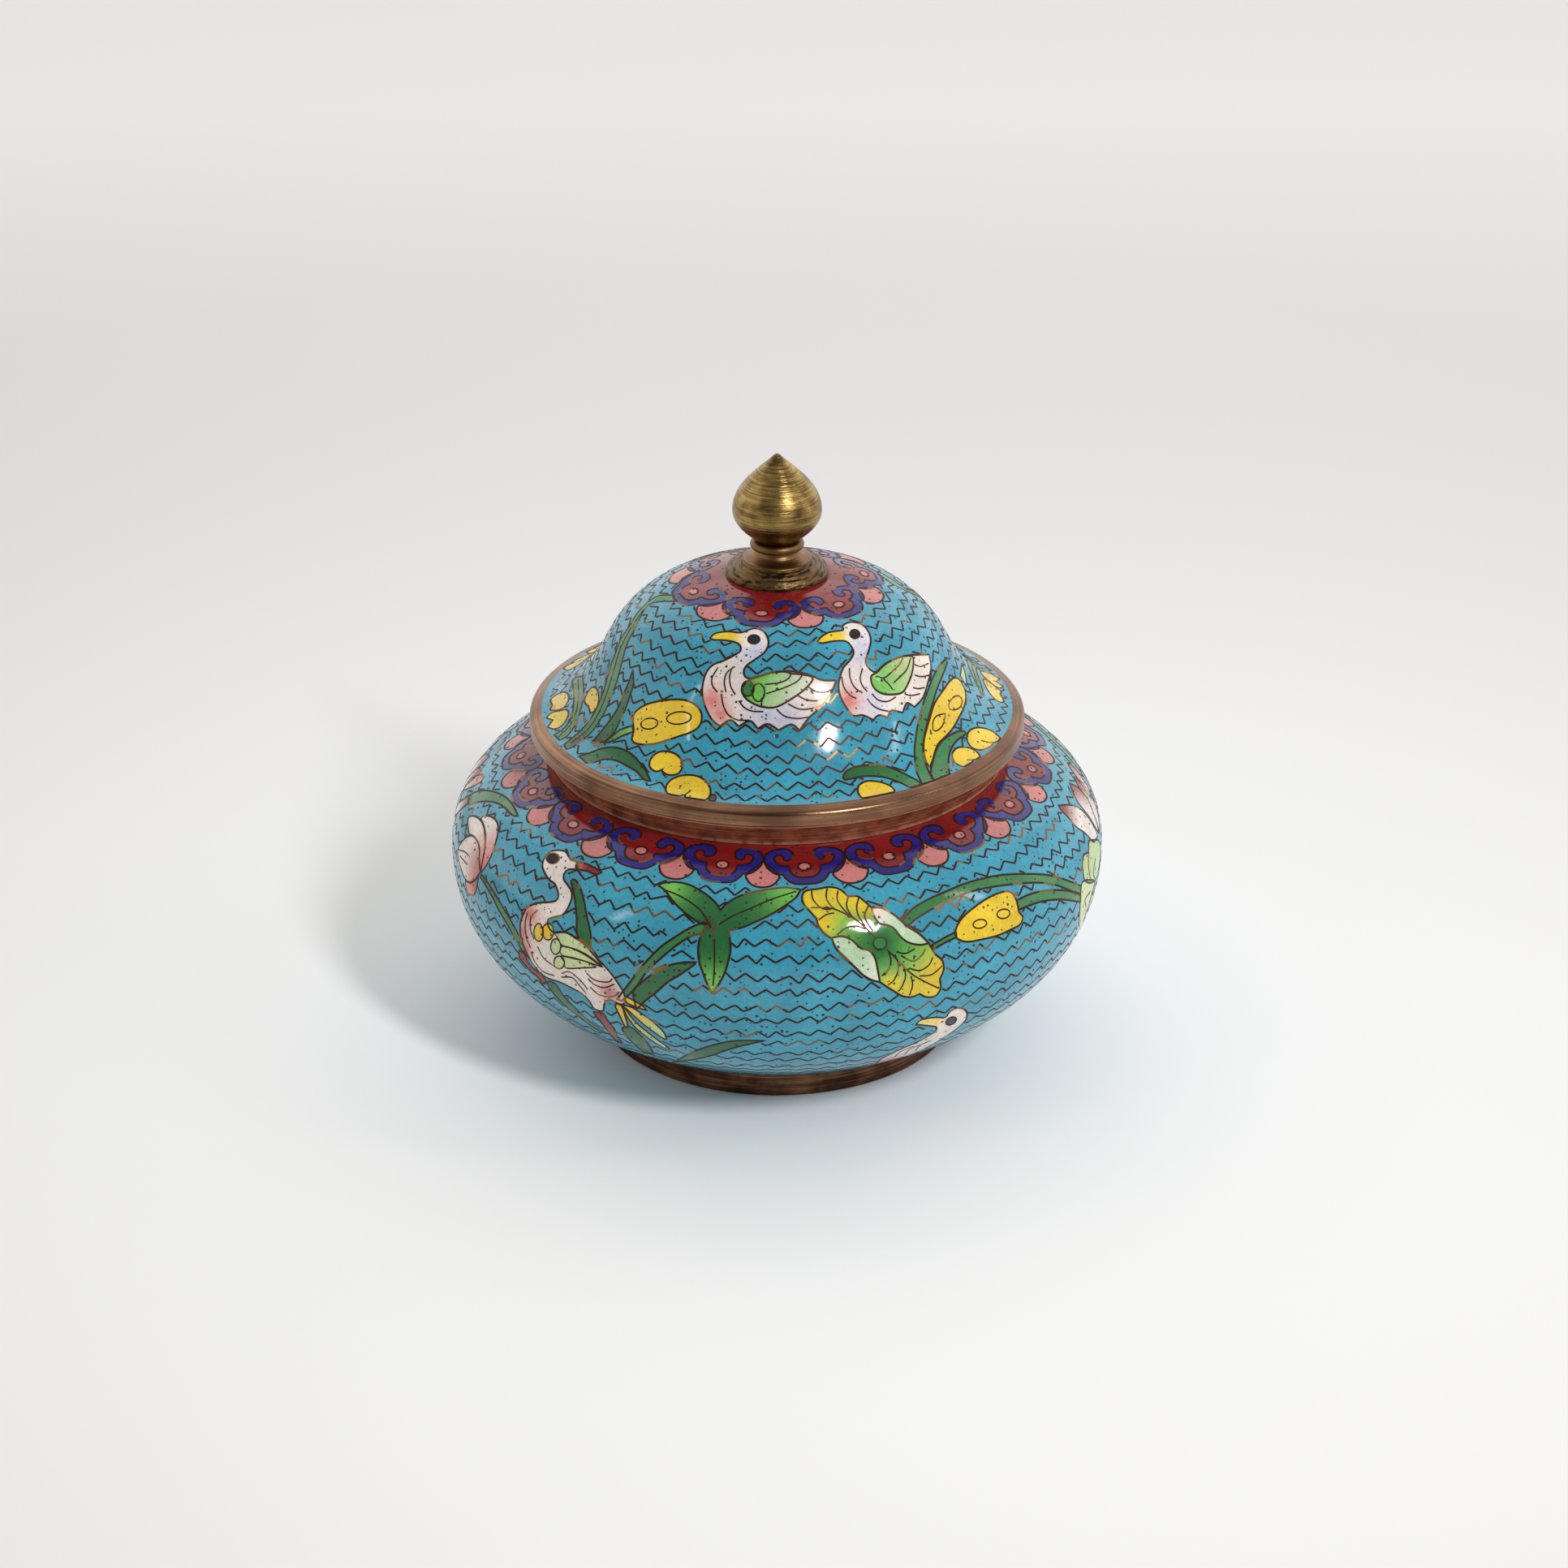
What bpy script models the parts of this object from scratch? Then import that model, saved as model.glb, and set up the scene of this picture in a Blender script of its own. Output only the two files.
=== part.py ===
"""A cloisonne enamel box: a squat round bowl on a foot, and a domed lid with a turned brass knob.

Every piece is a surface of revolution about Z. The outlines are lists of (radius, height) points,
worked out from the sizes below, and each one runs up the outside of its piece and back down the inside.
"""
import math

import bmesh
import bpy

# Clearances
SEAM = 0.0003                # left between two pieces that touch
LIP_PLAY = 0.0005            # between the lid's lip and the inside of the neck

# Foot
FOOT_HEIGHT = 0.0040
FOOT_RADIUS = 0.0309         # outside, where it stands
FOOT_TAPER = 0.0003          # how much narrower its top is
FOOT_WALL = 0.0018
FOOT_EDGE = 0.0003           # chamfer along its lower outside edge

# Bowl
BOWL_HEIGHT = 0.0460         # from its flat bottom to the land under the neck
BELLY_RADIUS = 0.0550
BELLY_HEIGHT = 0.0293        # of the widest place, above the flat bottom
BOWL_WALL = 0.0020           # copper with enamel on both sides
BOWL_BASE_SLOPE = 25.0       # degrees, where the wall leaves the foot
BOWL_MOUTH_SLOPE = 16.0      # degrees, where the shoulder meets the neck
BOWL_LOWER_PULL = (0.39, 0.39)
BOWL_UPPER_PULL = (0.43, 0.37)

# Neck
NECK_HEIGHT = 0.0036
NECK_RADIUS = 0.0384         # outside, at its foot on the shoulder
NECK_FLARE = 0.0020          # how much wider its top is
NECK_WALL = 0.0020
NECK_BEND = (0.45, 0.60)     # a point of its flared side, as shares of the flare and the height

# Lid
BRIM_RADIUS = 0.0393         # outside edge of the enamel
BRIM_HEIGHT = 0.0102         # from that edge up to where the flare turns into the dome
WAIST_RADIUS = 0.0290        # where the flare turns into the dome
DOME_HEIGHT = 0.0132         # from there up to the seat of the knob
SEAT_RADIUS = 0.0086
LID_WALL = 0.0018
BRIM_SLOPE = 5.0             # degrees, at the edge
WAIST_SLOPE = 64.0           # degrees, where the flare turns into the dome
DOME_SLOPE = 7.0             # degrees, at the seat of the knob
BRIM_PULL = (0.27, 0.27)
DOME_PULL = (0.31, 0.50)

# Turned edge of the lid
RIM_RADIUS = 0.0413
RIM_FACE = 0.0021            # height of the upright face
RIM_ROUND = 0.0008           # radius of the round between the upright face and the top
RIM_LEDGE = 0.0012           # thickness of the flange that carries the lid
LIP_DEPTH = 0.0028           # how far the lip reaches down inside the neck
LIP_WALL = 0.0012

# Knob
KNOB_BASE_RADIUS = 0.0085
KNOB_BASE_EDGE = 0.0005      # height of the upright edge of the base
KNOB_BASE_RISE = 0.0018      # from that edge up to the bell
BELL_RADIUS = 0.0057
BELL_STEP = 0.0003           # height of the step around the foot of the bell
BELL_HEIGHT = 0.0016
STEM_RADIUS = 0.0035
BEAD_RADIUS = 0.00445
BEAD_HEIGHT = 0.0015
BUD_RADIUS = 0.00735
BUD_BELLY_HEIGHT = 0.0052    # of the widest place, above the bead
BUD_HEIGHT = 0.0149
BUD_TIP_RADIUS = 0.0005
BUD_BASE_SLOPE = 44.0        # degrees, at the bead
BUD_TIP_SLOPE = 46.0         # degrees, at the point
BUD_LOWER_PULL = (0.28, 0.38)
BUD_UPPER_PULL = (0.36, 0.30)

# Fineness
TURNS = 60                   # facets around the large pieces
KNOB_TURNS = 32              # facets around the knob
MERGE = 0.000001
CREASE = 32.0                # degrees; sharper edges stay sharp

# Colours
TURQUOISE = (0.07, 0.36, 0.52)
DARK_COPPER = (0.13, 0.065, 0.04)
RED_COPPER = (0.22, 0.06, 0.03)
RIM_COPPER = (0.20, 0.12, 0.075)
BRASS = (0.38, 0.26, 0.10)

# Heights of the seams, from the ground up
BOWL_BOTTOM = FOOT_HEIGHT + SEAM
BOWL_TOP = BOWL_BOTTOM + BOWL_HEIGHT
NECK_BOTTOM = BOWL_TOP + SEAM
NECK_TOP = NECK_BOTTOM + NECK_HEIGHT
RIM_BOTTOM = NECK_TOP + SEAM
LEDGE_TOP = RIM_BOTTOM + RIM_LEDGE
LID_BOTTOM = LEDGE_TOP + SEAM
LID_EDGE = LID_BOTTOM + LID_WALL
WAIST = LID_EDGE + BRIM_HEIGHT
LID_SEAT = WAIST + DOME_HEIGHT
KNOB_BOTTOM = LID_SEAT + SEAM

# Radii that follow from their neighbours
FOOT_TOP_RADIUS = FOOT_RADIUS - FOOT_TAPER
MOUTH_RADIUS = NECK_RADIUS - NECK_WALL
LIP_RADIUS = MOUTH_RADIUS - LIP_PLAY
RIM_INSIDE = BRIM_RADIUS + SEAM


def clear_scene():
    """Remove every object that the scene starts with."""
    for item in list(bpy.data.objects):
        bpy.data.objects.remove(item, do_unlink=True)


def curve(start, start_angle, end, end_angle, pull, steps):
    """Points of a Bezier curve that leaves start and reaches end in the given directions.

    Angles are in degrees, from +radius towards +height. Each pull is a handle's length as a share
    of the distance between the two ends. The curve comes with the direction at each of its points.
    """
    span = math.dist(start, end)
    first = math.radians(start_angle)
    last = math.radians(end_angle)
    handle_a = (start[0] + pull[0] * span * math.cos(first), start[1] + pull[0] * span * math.sin(first))
    handle_b = (end[0] - pull[1] * span * math.cos(last), end[1] - pull[1] * span * math.sin(last))
    points = []
    directions = []
    for step in range(steps + 1):
        t = step / steps
        s = 1 - t
        weights = (s ** 3, 3 * s * s * t, 3 * s * t * t, t ** 3)
        slopes = (-3 * s * s, 3 * s * s - 6 * s * t, 6 * s * t - 3 * t * t, 3 * t * t)
        corners = (start, handle_a, handle_b, end)
        points.append(tuple(sum(w * c[k] for w, c in zip(weights, corners)) for k in range(2)))
        along = tuple(sum(w * c[k] for w, c in zip(slopes, corners)) for k in range(2))
        length = math.hypot(*along)
        directions.append((along[0] / length, along[1] / length))
    return points, directions


def inside(points, directions, wall):
    """The same curve moved into the wall by the wall's thickness, run backwards."""
    moved = [(p[0] - wall * d[1], p[1] + wall * d[0]) for p, d in zip(points, directions)]
    return moved[::-1]


def arc(centre, radius, start_angle, end_angle, steps):
    """Points along a round, with its angles in degrees."""
    points = []
    for step in range(steps + 1):
        angle = math.radians(start_angle + (end_angle - start_angle) * step / steps)
        points.append((centre[0] + radius * math.cos(angle), centre[1] + radius * math.sin(angle)))
    return points


def material(name, colour, roughness, metallic):
    """A finish of one colour."""
    made = bpy.data.materials.new(name)
    made.use_nodes = True
    shader = made.node_tree.nodes["Principled BSDF"]
    shader.inputs["Base Color"].default_value = (*colour, 1.0)
    shader.inputs["Roughness"].default_value = roughness
    shader.inputs["Metallic"].default_value = metallic
    return made


def turned(name, outline, turns, finish):
    """Spin an outline about Z into one closed solid. A ring's outline closes on itself."""
    shape = bmesh.new()
    verts = [shape.verts.new((radius, 0.0, height)) for radius, height in outline]
    pairs = list(zip(verts, verts[1:]))
    touches_axis = outline[0][0] < MERGE
    if not touches_axis:
        pairs.append((verts[-1], verts[0]))
    edges = [shape.edges.new(pair) for pair in pairs]
    bmesh.ops.spin(shape, geom=verts + edges, cent=(0, 0, 0), axis=(0, 0, 1), dvec=(0, 0, 0),
                   angle=2 * math.pi, steps=turns, use_merge=True)
    bmesh.ops.remove_doubles(shape, verts=shape.verts[:], dist=MERGE)
    bmesh.ops.recalc_face_normals(shape, faces=shape.faces[:])
    mesh = bpy.data.meshes.new(name)
    shape.to_mesh(mesh)
    shape.free()
    mesh.shade_smooth()
    mesh.set_sharp_from_angle(angle=math.radians(CREASE))
    mesh.materials.append(finish)
    piece = bpy.data.objects.new(name, mesh)
    bpy.context.collection.objects.link(piece)
    return piece


def make_foot():
    """The ring that the bowl stands on, open underneath."""
    outline = [
        (FOOT_RADIUS - FOOT_WALL, 0.0),
        (FOOT_RADIUS - FOOT_EDGE, 0.0),
        (FOOT_RADIUS, FOOT_EDGE),
        (FOOT_TOP_RADIUS, FOOT_HEIGHT),
        (FOOT_RADIUS - FOOT_WALL, FOOT_HEIGHT),
    ]
    return turned("foot_ring", outline, TURNS, material("dark_copper", DARK_COPPER, 0.45, 1.0))


def make_bowl():
    """The hollow bowl, from the middle of its flat bottom over the belly and back inside."""
    base = (FOOT_TOP_RADIUS, BOWL_BOTTOM)
    belly = (BELLY_RADIUS, BOWL_BOTTOM + BELLY_HEIGHT)
    mouth = (NECK_RADIUS, BOWL_TOP)
    lower, lower_way = curve(base, BOWL_BASE_SLOPE, belly, 90.0, BOWL_LOWER_PULL, 9)
    upper, upper_way = curve(belly, 90.0, mouth, 180.0 - BOWL_MOUTH_SLOPE, BOWL_UPPER_PULL, 8)
    inner_upper = inside(upper[::2], upper_way[::2], BOWL_WALL)
    inner_lower = inside(lower[::3], lower_way[::3], BOWL_WALL)
    land = (MOUTH_RADIUS, BOWL_TOP)
    under_land = (MOUTH_RADIUS, inner_upper[0][1])
    floor = (0.0, inner_lower[-1][1])
    outline = [(0.0, BOWL_BOTTOM)] + lower + upper[1:] + [land, under_land]
    outline += inner_upper[1:-1] + inner_lower + [floor]
    return turned("bowl", outline, TURNS, material("bowl_enamel", TURQUOISE, 0.15, 0.0))


def make_neck():
    """The copper collar on the shoulder, which the lid's lip drops into."""
    outline = [
        (MOUTH_RADIUS, NECK_BOTTOM),
        (NECK_RADIUS, NECK_BOTTOM),
        (NECK_RADIUS + NECK_BEND[0] * NECK_FLARE, NECK_BOTTOM + NECK_BEND[1] * NECK_HEIGHT),
        (NECK_RADIUS + NECK_FLARE, NECK_TOP),
        (MOUTH_RADIUS, NECK_TOP),
    ]
    return turned("neck_ring", outline, TURNS, material("red_copper", RED_COPPER, 0.45, 1.0))


def make_rim():
    """The turned copper edge that holds the lid, with the lip that centres it in the neck."""
    round_centre = (RIM_RADIUS - RIM_ROUND, RIM_BOTTOM + RIM_FACE)
    outline = [
        (LIP_RADIUS - LIP_WALL, RIM_BOTTOM - LIP_DEPTH),
        (LIP_RADIUS, RIM_BOTTOM - LIP_DEPTH),
        (LIP_RADIUS, RIM_BOTTOM),
        (RIM_RADIUS, RIM_BOTTOM),
    ]
    outline += arc(round_centre, RIM_ROUND, 0.0, 80.0, 3)
    outline += [
        (RIM_INSIDE, LID_EDGE),
        (RIM_INSIDE, LEDGE_TOP),
        (LIP_RADIUS - LIP_WALL, LEDGE_TOP),
    ]
    return turned("lid_rim", outline, TURNS, material("rim_copper", RIM_COPPER, 0.35, 1.0))


def make_lid():
    """The hollow lid: a flared brim that turns into a dome, with a flat seat for the knob."""
    edge = (BRIM_RADIUS, LID_EDGE)
    waist = (WAIST_RADIUS, WAIST)
    seat = (SEAT_RADIUS, LID_SEAT)
    brim, brim_way = curve(edge, 180.0 - BRIM_SLOPE, waist, 180.0 - WAIST_SLOPE, BRIM_PULL, 6)
    dome, dome_way = curve(waist, 180.0 - WAIST_SLOPE, seat, 180.0 - DOME_SLOPE, DOME_PULL, 7)
    inner_dome = inside(dome[1::2], dome_way[1::2], LID_WALL)
    inner_brim = inside(brim[2::2], brim_way[2::2], LID_WALL)
    under_edge = (BRIM_RADIUS, LID_BOTTOM)
    outline = [(0.0, inner_dome[0][1])] + inner_dome + inner_brim + [under_edge] + brim + dome[1:]
    outline += [(0.0, LID_SEAT)]
    return turned("lid", outline, TURNS, material("lid_enamel", TURQUOISE, 0.15, 0.0))


def make_knob():
    """The brass knob: a round base, a small bell, a bead and a pointed bud, turned in one."""
    edge_top = KNOB_BOTTOM + KNOB_BASE_EDGE
    bell_foot = edge_top + KNOB_BASE_RISE
    bell_start = bell_foot + BELL_STEP
    bell_top = bell_start + BELL_HEIGHT
    bead_centre = bell_top + BEAD_HEIGHT / 2
    bud_bottom = bell_top + BEAD_HEIGHT
    bead_round = BEAD_HEIGHT / 2
    base, _ = curve((KNOB_BASE_RADIUS, edge_top), 105.0, (BELL_RADIUS, bell_foot), 165.0, (0.3, 0.3), 3)
    bell, _ = curve((BELL_RADIUS, bell_start), 160.0, (STEM_RADIUS, bell_top), 95.0, (0.35, 0.45), 3)
    bead = arc((BEAD_RADIUS - bead_round, bead_centre), bead_round, -80.0, 80.0, 4)
    widest = (BUD_RADIUS, bud_bottom + BUD_BELLY_HEIGHT)
    tip = (BUD_TIP_RADIUS, bud_bottom + BUD_HEIGHT - BUD_TIP_RADIUS / 2)
    lower, _ = curve((STEM_RADIUS, bud_bottom), BUD_BASE_SLOPE, widest, 90.0, BUD_LOWER_PULL, 5)
    upper, _ = curve(widest, 90.0, tip, 180.0 - BUD_TIP_SLOPE, BUD_UPPER_PULL, 6)
    outline = [(0.0, KNOB_BOTTOM), (KNOB_BASE_RADIUS, KNOB_BOTTOM)]
    outline += base + bell + bead + lower + upper[1:] + [(0.0, bud_bottom + BUD_HEIGHT)]
    return turned("finial", outline, KNOB_TURNS, material("brass", BRASS, 0.35, 1.0))


def main():
    """Make the six pieces, each where it rests in the closed box."""
    clear_scene()
    make_foot()
    make_bowl()
    make_neck()
    make_rim()
    make_lid()
    make_knob()


main()
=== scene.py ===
"""Looks of the cloisonne enamel box: coloured enamel cells between copper wires, turned copper and brass.

The pattern is worked out flat and laid on the bowl and on the lid. A place on either is an angle round
the axis, zero at the front and growing to the right, and a length along the outline from its lower edge.
"""
import math

import bmesh
import bpy
import numpy as np
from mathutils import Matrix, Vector, geometry


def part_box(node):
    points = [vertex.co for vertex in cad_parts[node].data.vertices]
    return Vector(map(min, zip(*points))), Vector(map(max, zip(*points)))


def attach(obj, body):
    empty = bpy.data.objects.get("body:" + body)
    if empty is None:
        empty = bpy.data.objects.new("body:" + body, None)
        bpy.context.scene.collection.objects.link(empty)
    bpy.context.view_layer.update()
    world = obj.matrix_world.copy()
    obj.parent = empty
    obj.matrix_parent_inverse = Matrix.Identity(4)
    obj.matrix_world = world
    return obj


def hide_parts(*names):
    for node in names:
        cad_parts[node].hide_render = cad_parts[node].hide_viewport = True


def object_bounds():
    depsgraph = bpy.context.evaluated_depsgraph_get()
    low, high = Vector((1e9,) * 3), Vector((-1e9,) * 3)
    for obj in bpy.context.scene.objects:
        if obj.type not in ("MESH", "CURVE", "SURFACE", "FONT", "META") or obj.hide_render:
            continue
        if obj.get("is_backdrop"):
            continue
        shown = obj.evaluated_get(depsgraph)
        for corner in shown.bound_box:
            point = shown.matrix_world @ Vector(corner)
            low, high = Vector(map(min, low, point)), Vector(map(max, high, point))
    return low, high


MM = 0.001

# The picture that the motifs are placed by
PICTURE = 1932
CAMERA_TILT = 24.84
CAMERA_DISTANCE = 0.600
FOCAL_PIXELS = 4399.0
AIM_HEIGHT = 0.050
AIM_PIXEL = (957.5, 918.0)
SENSOR = 36.0

# Enlarged parts of the picture: the corner in picture points, and the enlargement
DUCKS_SHEET = ((860, 740), 5.227)
LEFT_BED_SHEET = ((665, 730), 6.031)
RIGHT_BED_SHEET = ((1030, 790), 7.127)
EGRET_SHEET = ((640, 1030), 5.808)
ARROWHEAD_SHEET = ((780, 1060), 6.533)
LOTUS_SHEET = ((980, 1080), 5.227)
LEFT_FLOWER_SHEET = ((545, 950), 6.272)
RIGHT_FLOWER_SHEET = ((1240, 950), 6.817)
SWIMMER_SHEET = ((1080, 1180), 7.127)
WHOLE_PICTURE = ((0, 0), 1.0)
LOW_BLADE = [(829, 1309), (829, 1309), (862, 1293), (900, 1283), (943, 1282), (943, 1282), (905, 1291),
             (868, 1303)]

# Outlines of the solids, as in their own script
BOWL_WALL = 2.0 * MM
BOWL_BASE_SLOPE = 25.0
BOWL_MOUTH_SLOPE = 16.0
BOWL_LOWER_PULL = (0.39, 0.39)
BOWL_UPPER_PULL = (0.43, 0.37)
BELLY_RISE = 29.3 * MM
FOOT_TAPER = 0.3 * MM
NECK_FOOT_RADIUS = 38.4 * MM
WAIST_RADIUS = 29.0 * MM
BRIM_RISE = 10.2 * MM
SEAT_RADIUS = 8.6 * MM
LID_WALL = 1.8 * MM
BRIM_SLOPE = 5.0
WAIST_SLOPE = 64.0
DOME_SLOPE = 7.0
BRIM_PULL = (0.27, 0.27)
DOME_PULL = (0.31, 0.50)
SEAM = 0.3 * MM
SOLDER = 0.02 * MM           # left of a seam once its metal reaches the enamel
FOOT_WALL = 1.8 * MM
FOOT_EDGE = 0.3 * MM
NECK_WALL = 2.0 * MM
NECK_BEND = (0.45, 0.60)
RIM_FACE = 2.1 * MM
RIM_ROUND = 0.8 * MM
RIM_LEDGE = 1.2 * MM
LIP_PLAY = 0.5 * MM
LIP_WALL = 1.2 * MM
KNOB_BASE_EDGE = 0.5 * MM
KNOB_BASE_RISE = 1.8 * MM
BELL_RADIUS = 5.7 * MM
BELL_STEP = 0.3 * MM
BELL_HEIGHT = 1.6 * MM
STEM_RADIUS = 3.5 * MM
BEAD_RADIUS = 4.45 * MM
BEAD_HEIGHT = 1.5 * MM
BUD_RADIUS = 7.35 * MM
BUD_BELLY_HEIGHT = 5.2 * MM
BUD_TIP_RADIUS = 0.5 * MM
BUD_BASE_SLOPE = 44.0
BUD_TIP_SLOPE = 46.0
BUD_LOWER_PULL = (0.28, 0.38)
BUD_UPPER_PULL = (0.36, 0.30)

# Wires and rows of waves
WIRE_WIDTH = 0.34 * MM
WAVE_WIDTH = 0.33 * MM
WIRE_PROUD = 0.03 * MM
WIRE_DEPTH = 0.20 * MM
FINE_WIDTH = 0.25 * MM       # of the wires inside a motif
WAVE_PITCH = 3.3 * MM
WAVE_HEIGHT = 1.30 * MM
WAVE_SHARES = (0.0, 0.10, 0.50, 0.90)    # where a wave's side is read
WAVE_SWAY = (-1.0, 0.0, 0.0, 0.0)        # how each of those places leaves the straight side
WAVE_BULGE = 0.08 * MM
BOWL_ROWS = 2.75 * MM        # from one row of waves to the next
LID_ROWS = 2.35 * MM
WAVE_JITTER = 0.06           # how far a wave's ends stray, in waves
WAVE_UNEVEN = 0.13           # how much the heights differ
WAVE_DRIFTS = ((0.22 * MM, 2, 5), (0.12 * MM, 7, 12))    # size, and fewest and most swings in a row
SHORTEST_RUN = 3             # a stretch of wave with no more points than this is left out
GLINT_LEVEL = 1.2           # the higher, the fewer wires get a painted glint
GLINT_SWINGS = ((7.0, 700.0), (19.0, -1300.0))    # of the painted glints, by radian and by metre

# Borders of cloud heads, as lengths along the outline
BOWL_BORDER_INSET = 1.0 * MM
BOWL_BORDER_HEIGHT = 7.4 * MM
BOWL_WAVES_FROM = 1.2 * MM
BOWL_WAVES_INSET = 7.0 * MM
LID_BORDER_TOP = 37.9 * MM
LID_BORDER_HEIGHT = 6.8 * MM
LID_WAVES_FROM = 1.6 * MM
LID_WAVES_INSET = 8.0 * MM

# Fineness
TURNS = 240
KNOB_TURNS = 120
CREASE = 35.0                # degrees; sharper edges stay sharp
SKIN_STEP = 1.0 * MM
MERGE = 0.002 * MM
SHEET_STEP = 3.0             # between the points of a motif's outline, in picture points
RAY_SPAN = 0.075
RAY_STEPS = 601
EDGE_MARGIN = 0.12 * MM      # kept between a motif and the edge of its face

MESH_TOLERANCE = 1e-6

# Enamel and its open pits, each kind with its spacing, radius and share of places
ENAMEL_IOR = 1.50
ENAMEL_ROUGHNESS = 0.12
FINE_PITS = (0.80 * MM, 0.28 * MM, 0.75)
LARGE_PITS = (2.4 * MM, 0.42 * MM, 0.30)
PIT_DARKNESS = 0.94
PIT_ROUGHNESS = 0.45
PIT_DEPTH = 1.2
ENAMEL_RELIEF = 0.030 * MM

# Stage
FLOOR_REACH = 3.0
ROOM_FRONT = 0.20
ROOM_SIDES = 1.26
ROOM_ABOVE = 0.45            # share of that brightness left straight above
ROOM_LIGHT = (1.0, 0.985, 0.955)
# Painted light on the paper: painted shade near the camera, a painted pool of light round the box
PAINTED_SHADE_NEAR = 0.50
PAPER_FAR = 0.95
PAINTED_LIGHT_POOL = 0.96            # painted pool of light round the box
PAPER_SPAN = (-0.15, 0.60)   # from near to far
POOL_SPAN = (0.42, 0.06)     # from the rim of the pool to its full brightness
FRONT_SPAN = (-0.9, 0.1)     # share of the way back at which the room is as in front and as at the sides
ABOVE_SPAN = (0.20, 0.75)    # share of the way up at which it starts and stops getting darker
LIGHT_AIM = (0, 0, 0.04)
LIGHTS = (                   # name, place, size, power and shape
    ("key", (0.44, -0.65, 0.70), (0.12, 0.26), 5.2, "ELLIPSE"),
    ("left strip", (-0.70, -0.42, 0.56), (0.022, 0.26), 0.18, "RECTANGLE"),
    ("right strip", (0.72, -0.14, 0.60), (0.04, 0.26), 0.34, "RECTANGLE"),
    ("back", (0.0, 0.85, 0.95), (2.2, 0.9), 3.6, "RECTANGLE"),
)


def tone(red, green, blue):
    """A colour as light, from its usual values of 0 to 255."""
    shares = [value / 255 for value in (red, green, blue)]
    return tuple(s / 12.92 if s <= 0.04045 else ((s + 0.055) / 1.055) ** 2.4 for s in shares)


# Enamel colours
TURQUOISE = tone(58, 152, 178)
COBALT = tone(36, 30, 122)
RED = tone(130, 22, 27)
PINK = tone(198, 118, 114)
WHITE = tone(234, 222, 214)
BLUSH = tone(212, 118, 110)
CRIMSON = tone(132, 28, 30)
YELLOW = tone(232, 196, 42)
DEEP_GREEN = tone(34, 102, 54)
GREEN = tone(58, 126, 72)
LIGHT_GREEN = tone(112, 190, 82)
PALE_GREEN = tone(196, 212, 152)
BLACK = tone(14, 13, 18)
SMUDGE = tone(74, 48, 34)
LAVENDER = tone(198, 198, 216)
MINT = tone(190, 216, 180)
LINING = tone(92, 158, 172)
PIT_COLOUR = tone(20, 16, 18)

# Metals: dark, middle and light, and tints for single places
FOOT_TONES = (tone(54, 34, 28), tone(98, 64, 48), tone(152, 110, 80))
NECK_TONES = (tone(104, 56, 38), tone(176, 104, 70), tone(212, 146, 104))
RIM_TONES = (tone(96, 68, 54), tone(128, 94, 72), tone(160, 122, 92))
KNOB_TONES = (tone(80, 60, 36), tone(142, 115, 66), tone(208, 176, 108))
NECK_DUST = tone(176, 140, 116)
RIM_UNDERSIDE = tone(170, 96, 60)
BUD_FOOT = tone(118, 84, 58)
FURROW_RIDGE = tone(112, 90, 58)
# painted shade for the low parts of the knob's furrows
FURROW_SHADE = tone(44, 35, 28)


def rotate_list(values, start):
    """The same closed list, begun at another place."""
    return values[start:] + values[:start]


def curve(start, start_angle, end, end_angle, pull, steps):
    """Points of a Bezier curve that leaves start and reaches end in the given directions, in degrees."""
    span = math.dist(start, end)
    first = math.radians(start_angle)
    last = math.radians(end_angle)
    handle_a = (start[0] + pull[0] * span * math.cos(first), start[1] + pull[0] * span * math.sin(first))
    handle_b = (end[0] - pull[1] * span * math.cos(last), end[1] - pull[1] * span * math.sin(last))
    t = np.linspace(0.0, 1.0, steps + 1)[:, None]
    s = 1.0 - t
    corners = [np.array(corner) for corner in (start, handle_a, handle_b, end)]
    return s ** 3 * corners[0] + 3 * s * s * t * corners[1] + 3 * s * t * t * corners[2] + t ** 3 * corners[3]


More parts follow.
